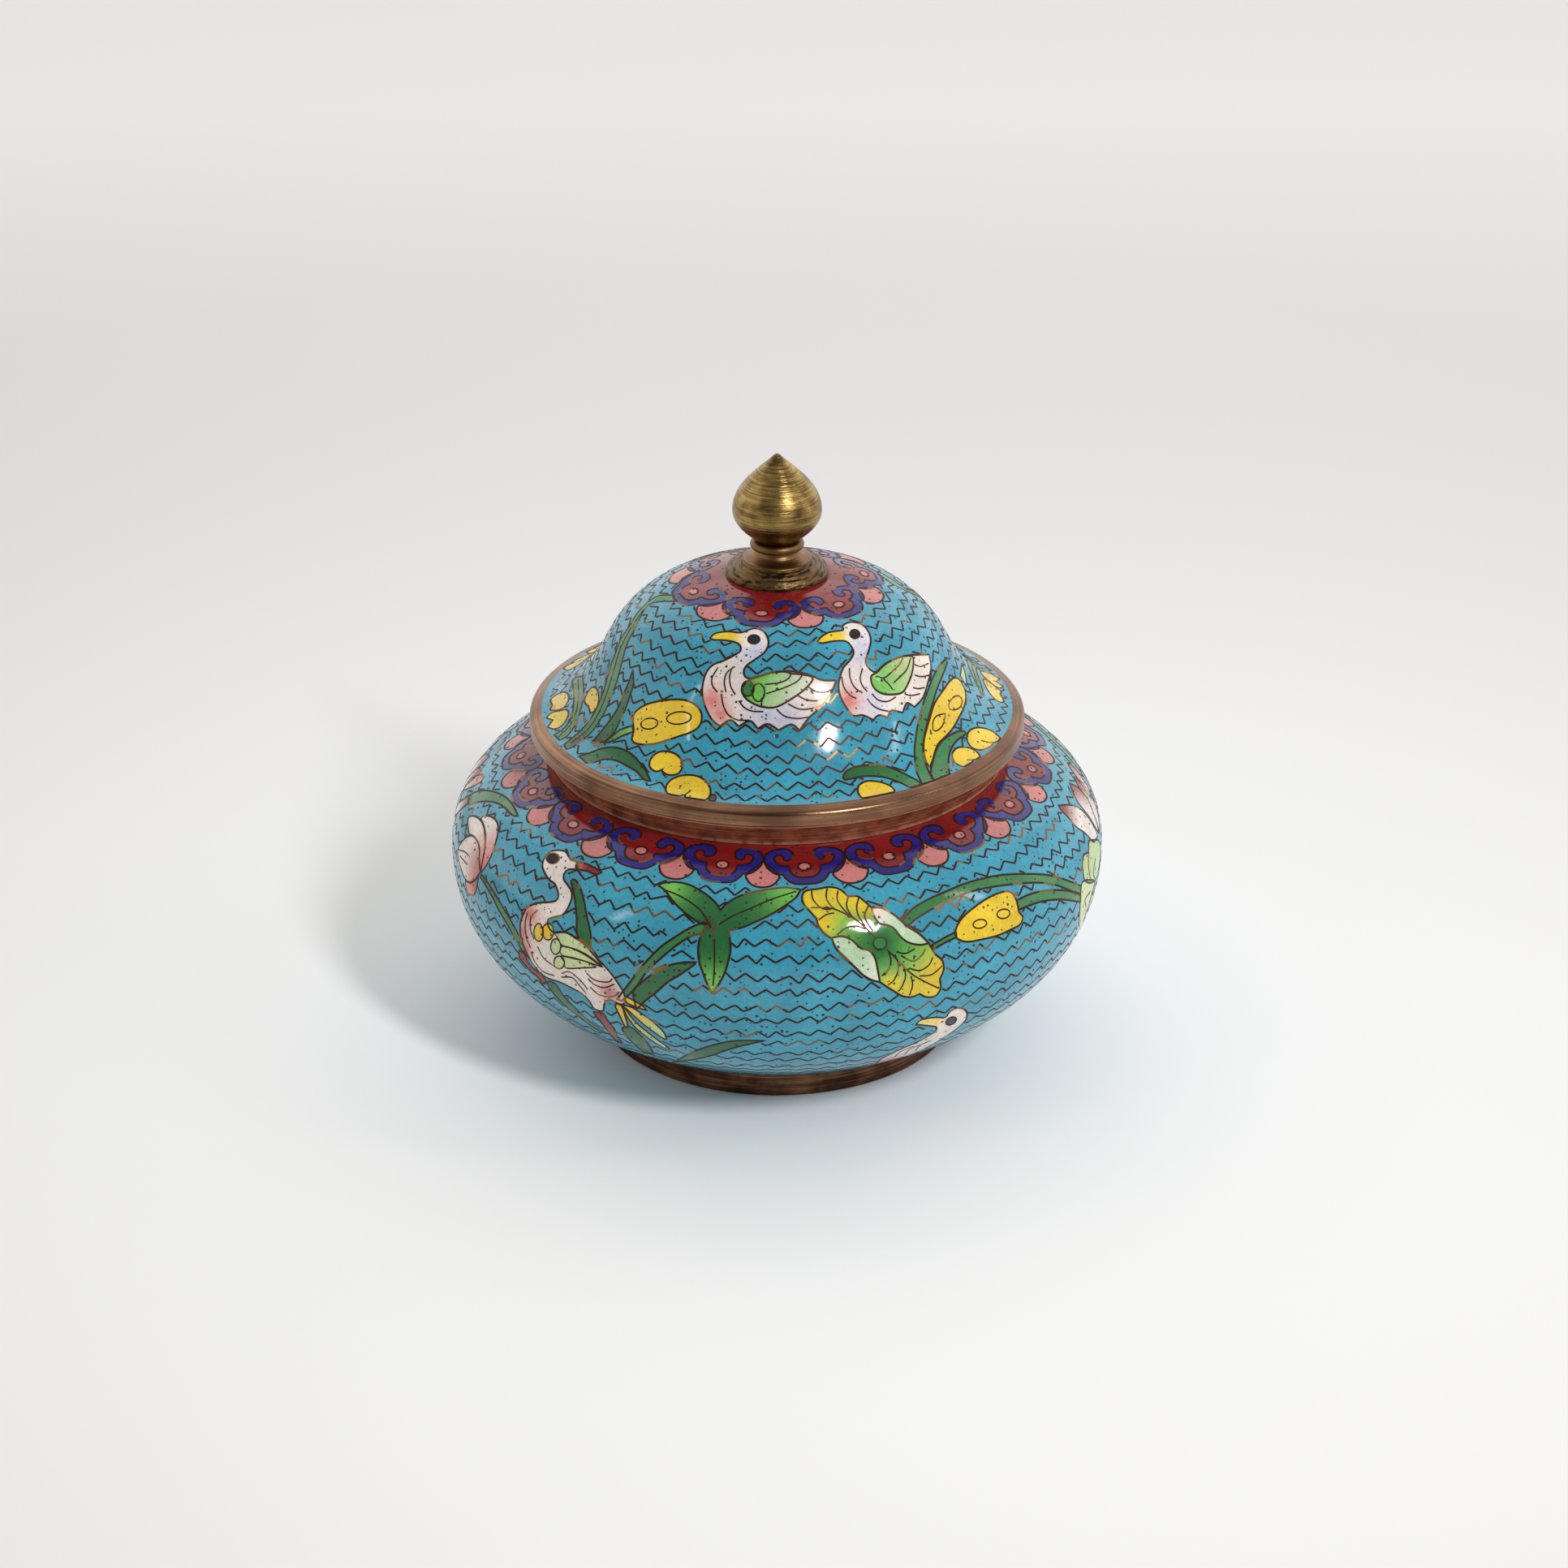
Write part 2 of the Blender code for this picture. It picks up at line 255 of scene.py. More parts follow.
class Shell:
    """The outer face of the bowl or the lid: an outline of (radius, height) points, spun about Z."""

    def __init__(self, outline):
        self.outline = outline
        steps = np.diff(outline, axis=0)
        sizes = np.hypot(steps[:, 0], steps[:, 1])
        middle = (outline[1:, 0] + outline[:-1, 0]) / 2
        self.lengths = np.concatenate([[0.0], np.cumsum(sizes)])
        self.spread = np.concatenate([[0.0], np.cumsum(sizes / middle)])
        self.total = self.lengths[-1]
        along = np.gradient(outline, self.lengths, axis=0)
        along /= np.hypot(along[:, 0], along[:, 1])[:, None]
        self.out = np.stack([along[:, 1], -along[:, 0]], axis=1)

    def radius(self, length):
        """Radius at a length along the outline."""
        return np.interp(length, self.lengths, self.outline[:, 0])

    def surface(self, angle, length, proud=0.0):
        """Points in space at an angle and a length, raised off the face by proud."""
        out_r = np.interp(length, self.lengths, self.out[:, 0])
        out_z = np.interp(length, self.lengths, self.out[:, 1])
        radius = self.radius(length) + proud * out_r
        height = np.interp(length, self.lengths, self.outline[:, 1]) + proud * out_z
        return np.stack([radius * np.sin(angle), -radius * np.cos(angle), height], axis=-1)

    def normal(self, angle, length):
        """Directions out of the face."""
        out_r = np.interp(length, self.lengths, self.out[:, 0])
        out_z = np.interp(length, self.lengths, self.out[:, 1])
        size = np.hypot(out_r, out_z)
        return np.stack([out_r * np.sin(angle), -out_r * np.cos(angle), out_z], axis=-1) / size[:, None]

    def flat(self, angle, length):
        """The map without a seam: shapes keep their form, and the upper edge is the inner ring."""
        size = np.exp(-np.interp(length, self.lengths, self.spread))
        return np.stack([size * np.sin(angle), -size * np.cos(angle)], axis=-1)

    def from_flat(self, points):
        """Angle and length of places on the map."""
        size = np.hypot(points[:, 0], points[:, 1])
        angle = np.arctan2(points[:, 0], -points[:, 1])
        length = np.interp(-np.log(size), self.spread, self.lengths)
        return angle, length

    def from_picture(self, pixels):
        """Angle and length of the places that the camera sees at the given picture points."""
        tilt = math.radians(CAMERA_TILT)
        ahead = np.array([0.0, math.cos(tilt), -math.sin(tilt)])
        up = np.array([0.0, math.sin(tilt), math.cos(tilt)])
        eye = np.array([0.0, 0.0, AIM_HEIGHT]) - CAMERA_DISTANCE * ahead
        across = (np.asarray(pixels, float) - AIM_PIXEL) / FOCAL_PIXELS
        rays = ahead + across[:, :1] * np.array([1.0, 0.0, 0.0]) - across[:, 1:] * up
        reach = np.linspace(CAMERA_DISTANCE - RAY_SPAN, CAMERA_DISTANCE + RAY_SPAN, RAY_STEPS)
        places = eye + rays[:, None, :] * reach[None, :, None]
        limit = np.interp(places[..., 2], self.outline[:, 1], self.outline[:, 0])
        gap = np.hypot(places[..., 0], places[..., 1]) - limit
        each = np.arange(len(rays))
        hit = np.where((gap <= 0).any(axis=1), (gap <= 0).argmax(axis=1), gap.argmin(axis=1))
        before = np.maximum(hit - 1, 0)
        fall = gap[each, before] - gap[each, hit]
        share = np.where(fall > 0, np.clip(gap[each, before] / np.where(fall > 0, fall, 1.0), 0.0, 1.0), 1.0)
        found = places[each, before] + share[:, None] * (places[each, hit] - places[each, before])
        length = np.interp(found[:, 2], self.outline[:, 1], self.lengths)
        length = np.clip(length, EDGE_MARGIN, self.total - EDGE_MARGIN)
        return np.stack([np.arctan2(found[:, 0], -found[:, 1]), length], axis=1)


def smooth_run(points, step):
    """A smooth run through the points, read every step or so."""
    points = np.asarray(points, float)
    if len(points) == 2:
        padded = np.stack([2 * points[0] - points[1], points[0], points[1], 2 * points[1] - points[0]])
    else:
        padded = np.concatenate([[2 * points[0] - points[1]], points, [2 * points[-1] - points[-2]]])
    return spline(padded, step)


def spline(padded, step):
    """A Catmull-Rom spline through all points but the first and the last."""
    run = []
    for a, b, c, d in zip(padded, padded[1:], padded[2:], padded[3:]):
        count = max(1, int(round(np.linalg.norm(c - b) / step)))
        t = np.linspace(0.0, 1.0, count + 1)[:-1, None]
        run.append(0.5 * (2 * b + (c - a) * t + (2 * a - 5 * b + 4 * c - d) * t * t
                          + (3 * b - a - 3 * c + d) * t ** 3))
    run.append(padded[-2][None, :])
    return np.concatenate(run)


def outline_through(points, step, closed=True):
    """A run through given points. A point that is given twice in a row is a sharp corner."""
    corners = [k for k in range(len(points) - 1) if tuple(points[k]) == tuple(points[k + 1])]
    clean = [p for k, p in enumerate(points) if k == 0 or tuple(p) != tuple(points[k - 1])]
    sharp = [k - i for i, k in enumerate(corners)]
    if closed and not sharp:
        ring = np.asarray(clean, float)
        padded = np.concatenate([ring[-1:], ring, ring[:2]])
        return spline(padded, step)
    if closed:
        clean = rotate_list(clean, sharp[0])
        sharp = [(k - sharp[0]) % len(clean) for k in sharp]
        clean = clean + clean[:1]
    ends = sorted(set([0] + sharp + [len(clean) - 1]))
    runs = [smooth_run(clean[a:b + 1], step) for a, b in zip(ends, ends[1:])]
    return np.concatenate([runs[0]] + [run[1:] for run in runs[1:]])


def inside_polygon(points, polygon):
    """Which of the points lie inside the polygon."""
    result = np.zeros(len(points), bool)
    low = polygon.min(axis=0)
    high = polygon.max(axis=0)
    near = np.where(np.all((points >= low) & (points <= high), axis=1))[0]
    if not len(near):
        return result
    x = points[near, 0][:, None]
    y = points[near, 1][:, None]
    ax, ay = polygon[:, 0][None, :], polygon[:, 1][None, :]
    bx, by = np.roll(polygon[:, 0], -1)[None, :], np.roll(polygon[:, 1], -1)[None, :]
    spans = (ay > y) != (by > y)
    rise = np.where(by == ay, 1.0, by - ay)
    crossings = spans & (x < (bx - ax) * (y - ay) / rise + ax)
    result[near] = crossings.sum(axis=1) % 2 == 1
    return result


def blend(amount, start, end):
    """A colour between two, for each amount from 0 to 1."""
    amount = np.clip(amount, 0.0, 1.0)[:, None]
    return (1 - amount) * np.array(start) + amount * np.array(end)


class Pattern:
    """Enamel cells, in the order in which they are laid, and the wires around and between them."""

    def __init__(self, shell):
        self.shell = shell
        self.cells = []
        self.wires = []

    def cell(self, places, colour, wired=True, width=WIRE_WIDTH):
        """A cell with the given outline of (angle, length) places, of one colour or a colour by place."""
        places = np.asarray(places, float)
        if np.allclose(places[0], places[-1]):
            places = places[:-1]
        polygon = self.shell.flat(places[:, 0], places[:, 1])
        self.cells.append((polygon, colour))
        if wired:
            self.wires.append((np.concatenate([places, places[:1]]), width))

    def wire(self, places, width=WIRE_WIDTH):
        """A wire that bounds no cell."""
        self.wires.append((np.asarray(places, float), width))

    def colours(self, angle, length, owner):
        """Colour of each place, by the cell that owns it; -1 is the ground."""
        result = np.tile(np.array(TURQUOISE), (len(angle), 1))
        for number in np.unique(owner[owner >= 0]):
            chosen = owner == number
            colour = self.cells[number][1]
            if callable(colour):
                result[chosen] = colour(angle[chosen], length[chosen])
            else:
                result[chosen] = colour
        return result


class Sheet:
    """An enlarged part of the picture, on which the points of motifs were placed.

    The corner is a picture point, and turn, in degrees, carries the motifs round the axis.
    """

    def __init__(self, pattern, corner, enlargement, turn=0.0):
        self.pattern = pattern
        self.shell = pattern.shell
        self.corner = np.array(corner, float)
        self.enlargement = enlargement
        self.turn = math.radians(turn)

    def spots(self, points):
        """Angle and length of each of the points."""
        found = self.shell.from_picture(self.corner + np.asarray(points, float) / self.enlargement)
        found[:, 0] += self.turn
        return found

    def run(self, points, closed=True):
        """Angles and lengths along a smooth run through the points."""
        return self.spots(outline_through(points, SHEET_STEP * self.enlargement, closed))

    def cell(self, points, colour, wired=True, width=WIRE_WIDTH):
        """A cell with the outline that runs through the points."""
        self.pattern.cell(self.run(points), colour, wired, width)

    def oval(self, centre, radii, colour=None, tilt=0.0, width=FINE_WIDTH):
        """An oval cell, or only its wire where no colour is given. tilt is in degrees, clockwise."""
        turn = np.linspace(0.0, 2 * math.pi, 21)[:-1]
        lean = math.radians(tilt)
        x = radii[0] * np.cos(turn)
        y = radii[1] * np.sin(turn)
        ring = np.stack([centre[0] + x * math.cos(lean) - y * math.sin(lean),
                         centre[1] + x * math.sin(lean) + y * math.cos(lean)], axis=1)
        places = self.spots(ring)
        if colour is None:
            self.pattern.wire(np.concatenate([places, places[:1]]), width)
        else:
            self.pattern.cell(places, colour, True, width)

    def lines(self, *runs):
        """Fine wires, each through its own points."""
        for points in runs:
            self.pattern.wire(self.run(points, closed=False), FINE_WIDTH)

    def paint(self, first, last=None, start=None, end=None, spots=()):
        """Colour by place: from first at start to last at end, with soft spots of (centre, reach, colour)."""
        shell = self.shell
        marks = [(self.spots([centre])[0], reach * MM, np.array(colour)) for centre, reach, colour in spots]
        ends = None if last is None else self.spots([start, end])

        def offset(angle, length, centre):
            across = np.angle(np.exp(1j * (angle - centre[0]))) * shell.radius(centre[1])
            return np.stack([across, length - centre[1]], axis=1)

        def colour(angle, length):
            result = np.tile(np.array(first, float), (len(angle), 1))
            if ends is not None:
                whole = offset(ends[1:, 0], ends[1:, 1], ends[0])[0]
                share = offset(angle, length, ends[0]) @ whole / (whole @ whole)
                result = blend(share, first, last)
            for centre, reach, tint in marks:
                amount = np.exp(-(offset(angle, length, centre) ** 2).sum(axis=1) / reach ** 2)
                result = result + amount[:, None] * (tint - result)
            return result

        return colour


# The right half of a cloud head, and a petal: across in halves of the gap between heads, down in heights
HEAD_BAND = [
    (0.0, 1.0), (0.30, 0.97), (0.46, 0.84), (0.53, 0.73), (0.53, 0.73), (0.66, 0.73), (0.80, 0.65),
    (0.94, 0.48), (0.99, 0.28), (0.93, 0.13), (0.77, 0.03), (0.57, -0.02), (0.39, 0.0), (0.28, 0.08),
    (0.245, 0.20), (0.30, 0.30), (0.41, 0.34), (0.50, 0.30), (0.50, 0.22), (0.50, 0.22), (0.60, 0.17),
    (0.69, 0.20), (0.735, 0.28), (0.70, 0.37), (0.61, 0.455), (0.49, 0.49), (0.36, 0.50), (0.36, 0.50),
    (0.36, 0.61), (0.29, 0.73), (0.16, 0.81), (0.0, 0.82),
]
HEAD_FILL = [(1.0, 0.30), (0.94, 0.48), (0.80, 0.65), (0.53, 0.70), (0.46, 0.80), (0.30, 0.93), (0.0, 0.96)]
PETAL = [(1.0, 0.36), (1.0, 0.36), (1.37, 0.72), (1.34, 0.90), (1.20, 1.03), (1.0, 1.07),
         (0.80, 1.03), (0.66, 0.90), (0.63, 0.72)]
HEAD_DOT = (0.15, 0.11)
HEAD_DOT_HEIGHT = 0.52
UNIT_STEP = 0.05


def mirrored(points):
    """The right half of an outline and its mirror image, as one closed outline."""
    left = [(-x, y) for x, y in points[::-1]]
    start = 1 if points[-1][0] == 0.0 else 0
    end = -1 if points[0][0] == 0.0 else None
    return points + left[start:end]


def cloud_border(pattern, angles, top, height):
    """A border of cobalt cloud heads on red, with pink petals between them.

    The heads hang from top, a length along the outline, and reach down by height.
    """
    centres = np.radians(sorted(angles))
    gaps = np.diff(np.concatenate([centres, [centres[0] + 2 * math.pi]]))

    def place(points, centre, left, right):
        points = np.asarray(points, float)
        half = np.where(points[:, 0] < 0, left, right) / 2
        return np.stack([centre + points[:, 0] * half, top - points[:, 1] * height], axis=1)

    band = outline_through(mirrored(HEAD_BAND), UNIT_STEP)
    fill = np.array(mirrored(HEAD_FILL))
    petal = outline_through(PETAL, UNIT_STEP)
    turn = np.linspace(0.0, 2 * math.pi, 25)[:-1]
    dot = np.stack([HEAD_DOT[0] * np.cos(turn), HEAD_DOT_HEIGHT + HEAD_DOT[1] * np.sin(turn)], axis=1)
    for k, centre in enumerate(centres):
        pattern.cell(place(petal, centre, gaps[k - 1], gaps[k]), PINK)
    ring = np.linspace(0.0, 2 * math.pi, TURNS + 1)[:-1]
    lower = np.stack([ring, np.full(TURNS, top - 0.30 * height)], axis=1)
    pattern.cell(lower, RED, wired=False)
    for k, centre in enumerate(centres):
        pattern.cell(place(fill, centre, gaps[k - 1], gaps[k]), RED, wired=False)
    for k, centre in enumerate(centres):
        pattern.cell(place(band, centre, gaps[k - 1], gaps[k]), COBALT)
        pattern.cell(place(dot, centre, gaps[k - 1], gaps[k]), PINK)


def wave_rows(pattern, lengths, seed):
    """Rows of waves all round, broken off where a cell is in the way. No two waves are quite alike."""
    shell = pattern.shell
    chance = np.random.default_rng(seed)
    for row in lengths:
        radius = float(shell.radius(row))
        waves = max(6, int(round(2 * math.pi * radius / WAVE_PITCH)))
        knots = waves * 2
        jitter = chance.normal(0.0, WAVE_JITTER, knots) * 2 * math.pi / waves
        angles = np.linspace(-math.pi, math.pi, knots, endpoint=False) + jitter
        side = np.where(np.arange(knots) % 2 == 0, 1.0, -1.0)
        heights = WAVE_HEIGHT / 2 * side
        heights = heights * (1 + chance.normal(0.0, WAVE_UNEVEN, knots))
        drift = np.zeros(knots)
        for size, fewest, most in WAVE_DRIFTS:
            drift += size * np.sin(angles * chance.integers(fewest, most) + chance.uniform(0, 6))
        ends = np.stack([angles, row + heights + drift], axis=1)
        after = np.roll(ends, -1, axis=0)
        after[-1, 0] += 2 * math.pi
        places = [ends[:, None] + (after - ends)[:, None] * share for share in WAVE_SHARES]
        places = np.concatenate(places, axis=1)
        places[:, :, 1] += WAVE_BULGE * np.array(WAVE_SWAY) * side[:, None]
        places = places.reshape(-1, 2)
        for run in clear_runs(pattern, np.concatenate([places, places[:1] + [2 * math.pi, 0]])):
            pattern.wires.append((run, WAVE_WIDTH))


def clear_runs(pattern, places):
    """The stretches of a run that lie outside every cell."""
    flat = pattern.shell.flat(places[:, 0], places[:, 1])
    covered = np.zeros(len(places), bool)
    for polygon, _ in pattern.cells:
        covered |= inside_polygon(flat, polygon)
    runs = []
    start = None
    for k, hidden in enumerate(covered):
        if not hidden and start is None:
            start = k
        if hidden and start is not None:
            runs.append(places[start:k])
            start = None
    if start is not None:
        runs.append(places[start:])
    return [run for run in runs if len(run) > SHORTEST_RUN]


def enamel_skin(pattern):
    """The outer face, cut along every cell's outline: points in space, triangles and colours."""
    shell = pattern.shell
    corners = []
    edges = []

    def add_ring(flat):
        first = len(corners)
        corners.extend(map(tuple, flat))
        edges.extend((first + k, first + (k + 1) % len(flat)) for k in range(len(flat)))

    turn = np.linspace(-math.pi, math.pi, TURNS, endpoint=False)
    add_ring(shell.flat(turn, np.zeros(TURNS)))
    add_ring(shell.flat(turn, np.full(TURNS, shell.total)))
    for polygon, _ in pattern.cells:
        add_ring(polygon)
    rows = int(round(shell.total / SKIN_STEP))
    for k in range(1, rows):
        length = shell.total * k / rows
        count = int(round(2 * math.pi * float(shell.radius(length)) / SKIN_STEP))
        angles = (np.arange(count) + 0.5 * (k % 2)) * 2 * math.pi / count
        corners.extend(map(tuple, shell.flat(angles, np.full(count, length))))
    found = geometry.delaunay_2d_cdt([Vector(c) for c in corners], edges, [], 0, MESH_TOLERANCE, False)
    flat = np.array([tuple(v) for v in found[0]])
    triangles = np.array([tuple(f) for f in found[2]])
    middle = flat[triangles].mean(axis=1)
    hole = math.exp(-shell.spread[-1]) * math.cos(math.pi / TURNS)
    triangles = triangles[np.hypot(middle[:, 0], middle[:, 1]) > hole]
    middle = flat[triangles].mean(axis=1)
    owner = np.full(len(triangles), -1)
    for number, (polygon, _) in enumerate(pattern.cells):
        owner[inside_polygon(middle, polygon)] = number
    angle, length = shell.from_flat(flat)
    corner_colours = pattern.colours(angle[triangles].ravel(), length[triangles].ravel(), np.repeat(owner, 3))
    return shell.surface(angle, length), triangles, corner_colours


def mesh_object(name, points, faces, material):
    """An object of one material from points and faces."""
    mesh = bpy.data.meshes.new(name)
    mesh.from_pydata([tuple(p) for p in points], [], [tuple(f) for f in faces])
    mesh.materials.append(material)
    item = bpy.data.objects.new(name, mesh)
    bpy.context.collection.objects.link(item)
    return item


def make_skin(name, pattern, inner, outer_material, inner_material):
    """The enamelled piece: its coloured outer face, closed by the plain turned outline inner.

    inner runs from the lower edge of the outer face round the inside to its upper edge. It may touch
    the axis on the way.
    """
    points, triangles, colours = enamel_skin(pattern)
    turn = np.linspace(-math.pi, math.pi, TURNS, endpoint=False)
    rest_points, rest_faces = lathe(inner, turn)
    faces = [tuple(t) for t in triangles] + [tuple(i + len(points) for i in f) for f in rest_faces]
    item = mesh_object(name, np.concatenate([points, rest_points]), faces, outer_material)
    mesh = item.data
    mesh.materials.append(inner_material)
    layer = mesh.color_attributes.new("enamel", "FLOAT_COLOR", "CORNER")
    values = np.ones((len(mesh.loops), 4))
    values[:, :3] = RED
    values[:len(colours), :3] = colours
    land = pattern.shell.outline[-1][1] - SEAM
    for polygon in mesh.polygons[len(triangles):]:
        polygon.material_index = 0 if polygon.center.z > land else 1
    layer.data.foreach_set("color", values.ravel().astype(np.float32))
    weld(mesh)
    mesh.shade_smooth()
    mesh.set_sharp_from_angle(angle=math.radians(CREASE))
    return item


def weld(mesh):
    """Join points that share a place and turn the faces outward."""
    shape = bmesh.new()
    shape.from_mesh(mesh)
    bmesh.ops.remove_doubles(shape, verts=shape.verts[:], dist=MERGE)
    bmesh.ops.recalc_face_normals(shape, faces=shape.faces[:])
    shape.to_mesh(mesh)
    shape.free()


def lathe(outline, turn):
    """Points and faces of an outline spun about Z, one column for each angle."""
    outline = np.asarray(outline)
    rows = len(outline)
    points = np.stack([
        outline[None, :, 0] * np.sin(turn)[:, None],
        -outline[None, :, 0] * np.cos(turn)[:, None],
        np.broadcast_to(outline[None, :, 1], (len(turn), rows)),
    ], axis=-1).reshape(-1, 3)
    faces = []
    for column in range(len(turn)):
        after = (column + 1) % len(turn)
        for row in range(rows - 1):
            face = [column * rows + row, column * rows + row + 1, after * rows + row + 1, after * rows + row]
            if outline[row, 0] < MERGE:
                face = [face[0], face[1], face[2]]
            elif outline[row + 1, 0] < MERGE:
                face = [face[0], face[1], face[3]]
            faces.append(tuple(face))
    return points, faces


def make_wires(name, pattern, tarnished, bright):
    """Every wire of a pattern as thin three-sided bars, with a flat top just proud of the enamel."""
    shell = pattern.shell
    points = []
    faces = []
    shines = []
    count = 0
    for places, width in pattern.wires:
        closed = len(places) > 3 and np.allclose(places[0], places[-1])
        if closed:
            places = places[:-1]
        angle, length = places[:, 0], places[:, 1]
        face = shell.surface(angle, length)
        normal = shell.normal(angle, length)
        if closed:
            tangent = np.roll(face, -1, axis=0) - np.roll(face, 1, axis=0)
        else:
            tangent = np.gradient(face, axis=0)
        side = np.cross(tangent, normal)
        side /= np.maximum(np.linalg.norm(side, axis=1), 1e-12)[:, None]
        left = face + normal * WIRE_PROUD - side * width / 2
        right = face + normal * WIRE_PROUD + side * width / 2
        under = face - normal * WIRE_DEPTH
        points.append(np.stack([left, right, under], axis=1).reshape(-1, 3))
        sections = len(places)
        # Where both swings are high, the wire takes the lighter material, a painted glint.
        swings = [np.sin(turning * angle + climbing * length) for turning, climbing in GLINT_SWINGS]
        painted_glint = swings[0] + swings[1] > GLINT_LEVEL
        for k in range(sections if closed else sections - 1):
            a = count + 3 * k
            b = count + 3 * ((k + 1) % sections)
            faces.extend([(a, a + 1, b + 1, b), (a + 1, a + 2, b + 2, b + 1), (a + 2, a, b, b + 2)])
            shines.extend([painted_glint[k]] * 3)
        if not closed:
            last = count + 3 * (sections - 1)
            faces.extend([(count, count + 2, count + 1), (last, last + 1, last + 2)])
            shines.extend([painted_glint[0], painted_glint[-1]])
        count += 3 * sections
    item = mesh_object(name, np.concatenate(points), faces, tarnished)
    item.data.materials.append(bright)
    item.data.polygons.foreach_set("material_index", np.array(shines, np.int32))
    return item


class Finish:
    """A material under construction, with short names for the nodes that the finishes use."""

    def __init__(self, name, metallic, roughness):
        self.material = bpy.data.materials.new(name)
        self.material.use_nodes = True
        self.tree = self.material.node_tree
        self.shader = self.tree.nodes["Principled BSDF"]
        self.shader.inputs["Metallic"].default_value = metallic
        self.shader.inputs["Roughness"].default_value = roughness
        self.place = self.tree.nodes.new("ShaderNodeTexCoord").outputs["Object"]

    def node(self, kind, settings, inputs):
        """A node with its settings, and its inputs given as numbers or as other nodes' outputs."""
        made = self.tree.nodes.new(kind)
        for key, value in settings.items():
            setattr(made, key, value)
        for key, value in inputs.items():
            if isinstance(value, bpy.types.NodeSocket):
                self.tree.links.new(value, made.inputs[key])
            else:
                made.inputs[key].default_value = value
        return made

    def math(self, operation, first, second=0.0):
        """The result of one sum on two numbers."""
        return self.node("ShaderNodeMath", {"operation": operation}, {0: first, 1: second}).outputs[0]

    def noise(self, size, detail=2.0, place=None):
        """Soft noise from 0 to 1, with features of about the given size."""
        inputs = {"Vector": place or self.place, "Scale": 1.0 / size, "Detail": detail}
        return self.node("ShaderNodeTexNoise", {}, inputs).outputs[0]

    def spread(self, value, low, high, start=0.0, end=1.0):
        """A value stretched from one range to another and held within it."""
        inputs = {"Value": value, "From Min": low, "From Max": high, "To Min": start, "To Max": end}
        return self.node("ShaderNodeMapRange", {}, inputs).outputs[0]

    def mix(self, amount, first, second, way="MIX"):
        """Two colours mixed."""
        first = (*first, 1.0) if isinstance(first, tuple) else first
        second = (*second, 1.0) if isinstance(second, tuple) else second
        made = self.node("ShaderNodeMix", {"data_type": "RGBA", "blend_type": way},
                         {0: amount, 6: first, 7: second})
        return made.outputs[2]

    def specks(self, spacing, radius, share):
        """Small round specks, 1 inside and 0 outside. share is the part of the places that has one."""
        made = self.node("ShaderNodeTexVoronoi", {}, {"Vector": self.place, "Scale": 1.0 / spacing})
        chance = self.node("ShaderNodeSeparateColor", {}, {0: made.outputs["Color"]}).outputs[0]
        size = self.spread(chance, 1.0 - share, 1.0, 0.0, radius / spacing)
        inside = self.math("SUBTRACT", size, made.outputs["Distance"])
        return self.spread(inside, 0.0, 0.05)

    def rings(self, size, wander=0.0):
        """Noise that runs round the axis in rings, as a turning tool leaves them."""
        parts = self.node("ShaderNodeSeparateXYZ", {}, {0: self.place})
        flat = self.node("ShaderNodeCombineXYZ", {}, {0: parts.outputs[0], 1: parts.outputs[1]}).outputs[0]
        reach = self.node("ShaderNodeVectorMath", {"operation": "LENGTH"}, {0: flat}).outputs["Value"]
        along = self.math("MULTIPLY", parts.outputs[0], wander)
        back = self.math("MULTIPLY", parts.outputs[1], wander)
        bent = self.math("ADD", reach, back)
        place = self.node("ShaderNodeCombineXYZ", {}, {0: bent, 1: along, 2: parts.outputs[2]}).outputs[0]
        return self.noise(size, 3.0, place)

    def height(self, low, high):
        """0 below one height and 1 above another."""
        parts = self.node("ShaderNodeSeparateXYZ", {}, {0: self.place})
        return self.spread(parts.outputs[2], low, high)

    def finish(self, colour=None, roughness=None, relief=None, depth=0.0):
        """Link what is given to the shader. relief is a height from 0 to 1, and depth its size."""
        if colour is not None:
            self.tree.links.new(colour, self.shader.inputs["Base Color"])
        if roughness is not None:
            self.tree.links.new(roughness, self.shader.inputs["Roughness"])
        if relief is not None:
            bump = self.node("ShaderNodeBump", {}, {"Height": relief, "Distance": depth, "Strength": 1.0})
            self.tree.links.new(bump.outputs[0], self.shader.inputs["Normal"])
        return self.material


def enamel_material(name, ground=None):
    """Polished enamel with tiny open pits, in the colours of its cells or of one ground colour."""
    made = Finish(name, 0.0, ENAMEL_ROUGHNESS)
    made.shader.inputs["IOR"].default_value = ENAMEL_IOR
    if ground is None:
        colour = made.node("ShaderNodeVertexColor", {"layer_name": "enamel"}, {}).outputs["Color"]
    else:
        colour = made.mix(made.noise(4.0 * MM), ground, tuple(0.8 * part for part in ground))
    cloudy = made.spread(made.noise(7.0 * MM, 3.0), low=0.30, high=0.70, start=0.84, end=1.12)
    grainy = made.spread(made.noise(0.6 * MM, 2.0), low=0.30, high=0.70, start=0.90, end=1.08)
    colour = made.mix(1.0, colour, made.math("MULTIPLY", cloudy, grainy), "MULTIPLY")
    pits = made.math("MAXIMUM", made.specks(*FINE_PITS), made.specks(*LARGE_PITS))
    colour = made.mix(made.math("MULTIPLY", pits, PIT_DARKNESS), colour, PIT_COLOUR)
    gloss = made.spread(made.noise(9.0 * MM), low=0.3, high=0.7, start=0.07, end=0.17)
    gloss = made.math("ADD", gloss, made.math("MULTIPLY", pits, PIT_ROUGHNESS))
    swell = made.math("ADD", made.noise(3.0 * MM), made.math("MULTIPLY", made.noise(0.8 * MM), 0.15))
    swell = made.math("SUBTRACT", swell, made.math("MULTIPLY", pits, PIT_DEPTH))
    return made.finish(colour, gloss, swell, ENAMEL_RELIEF)


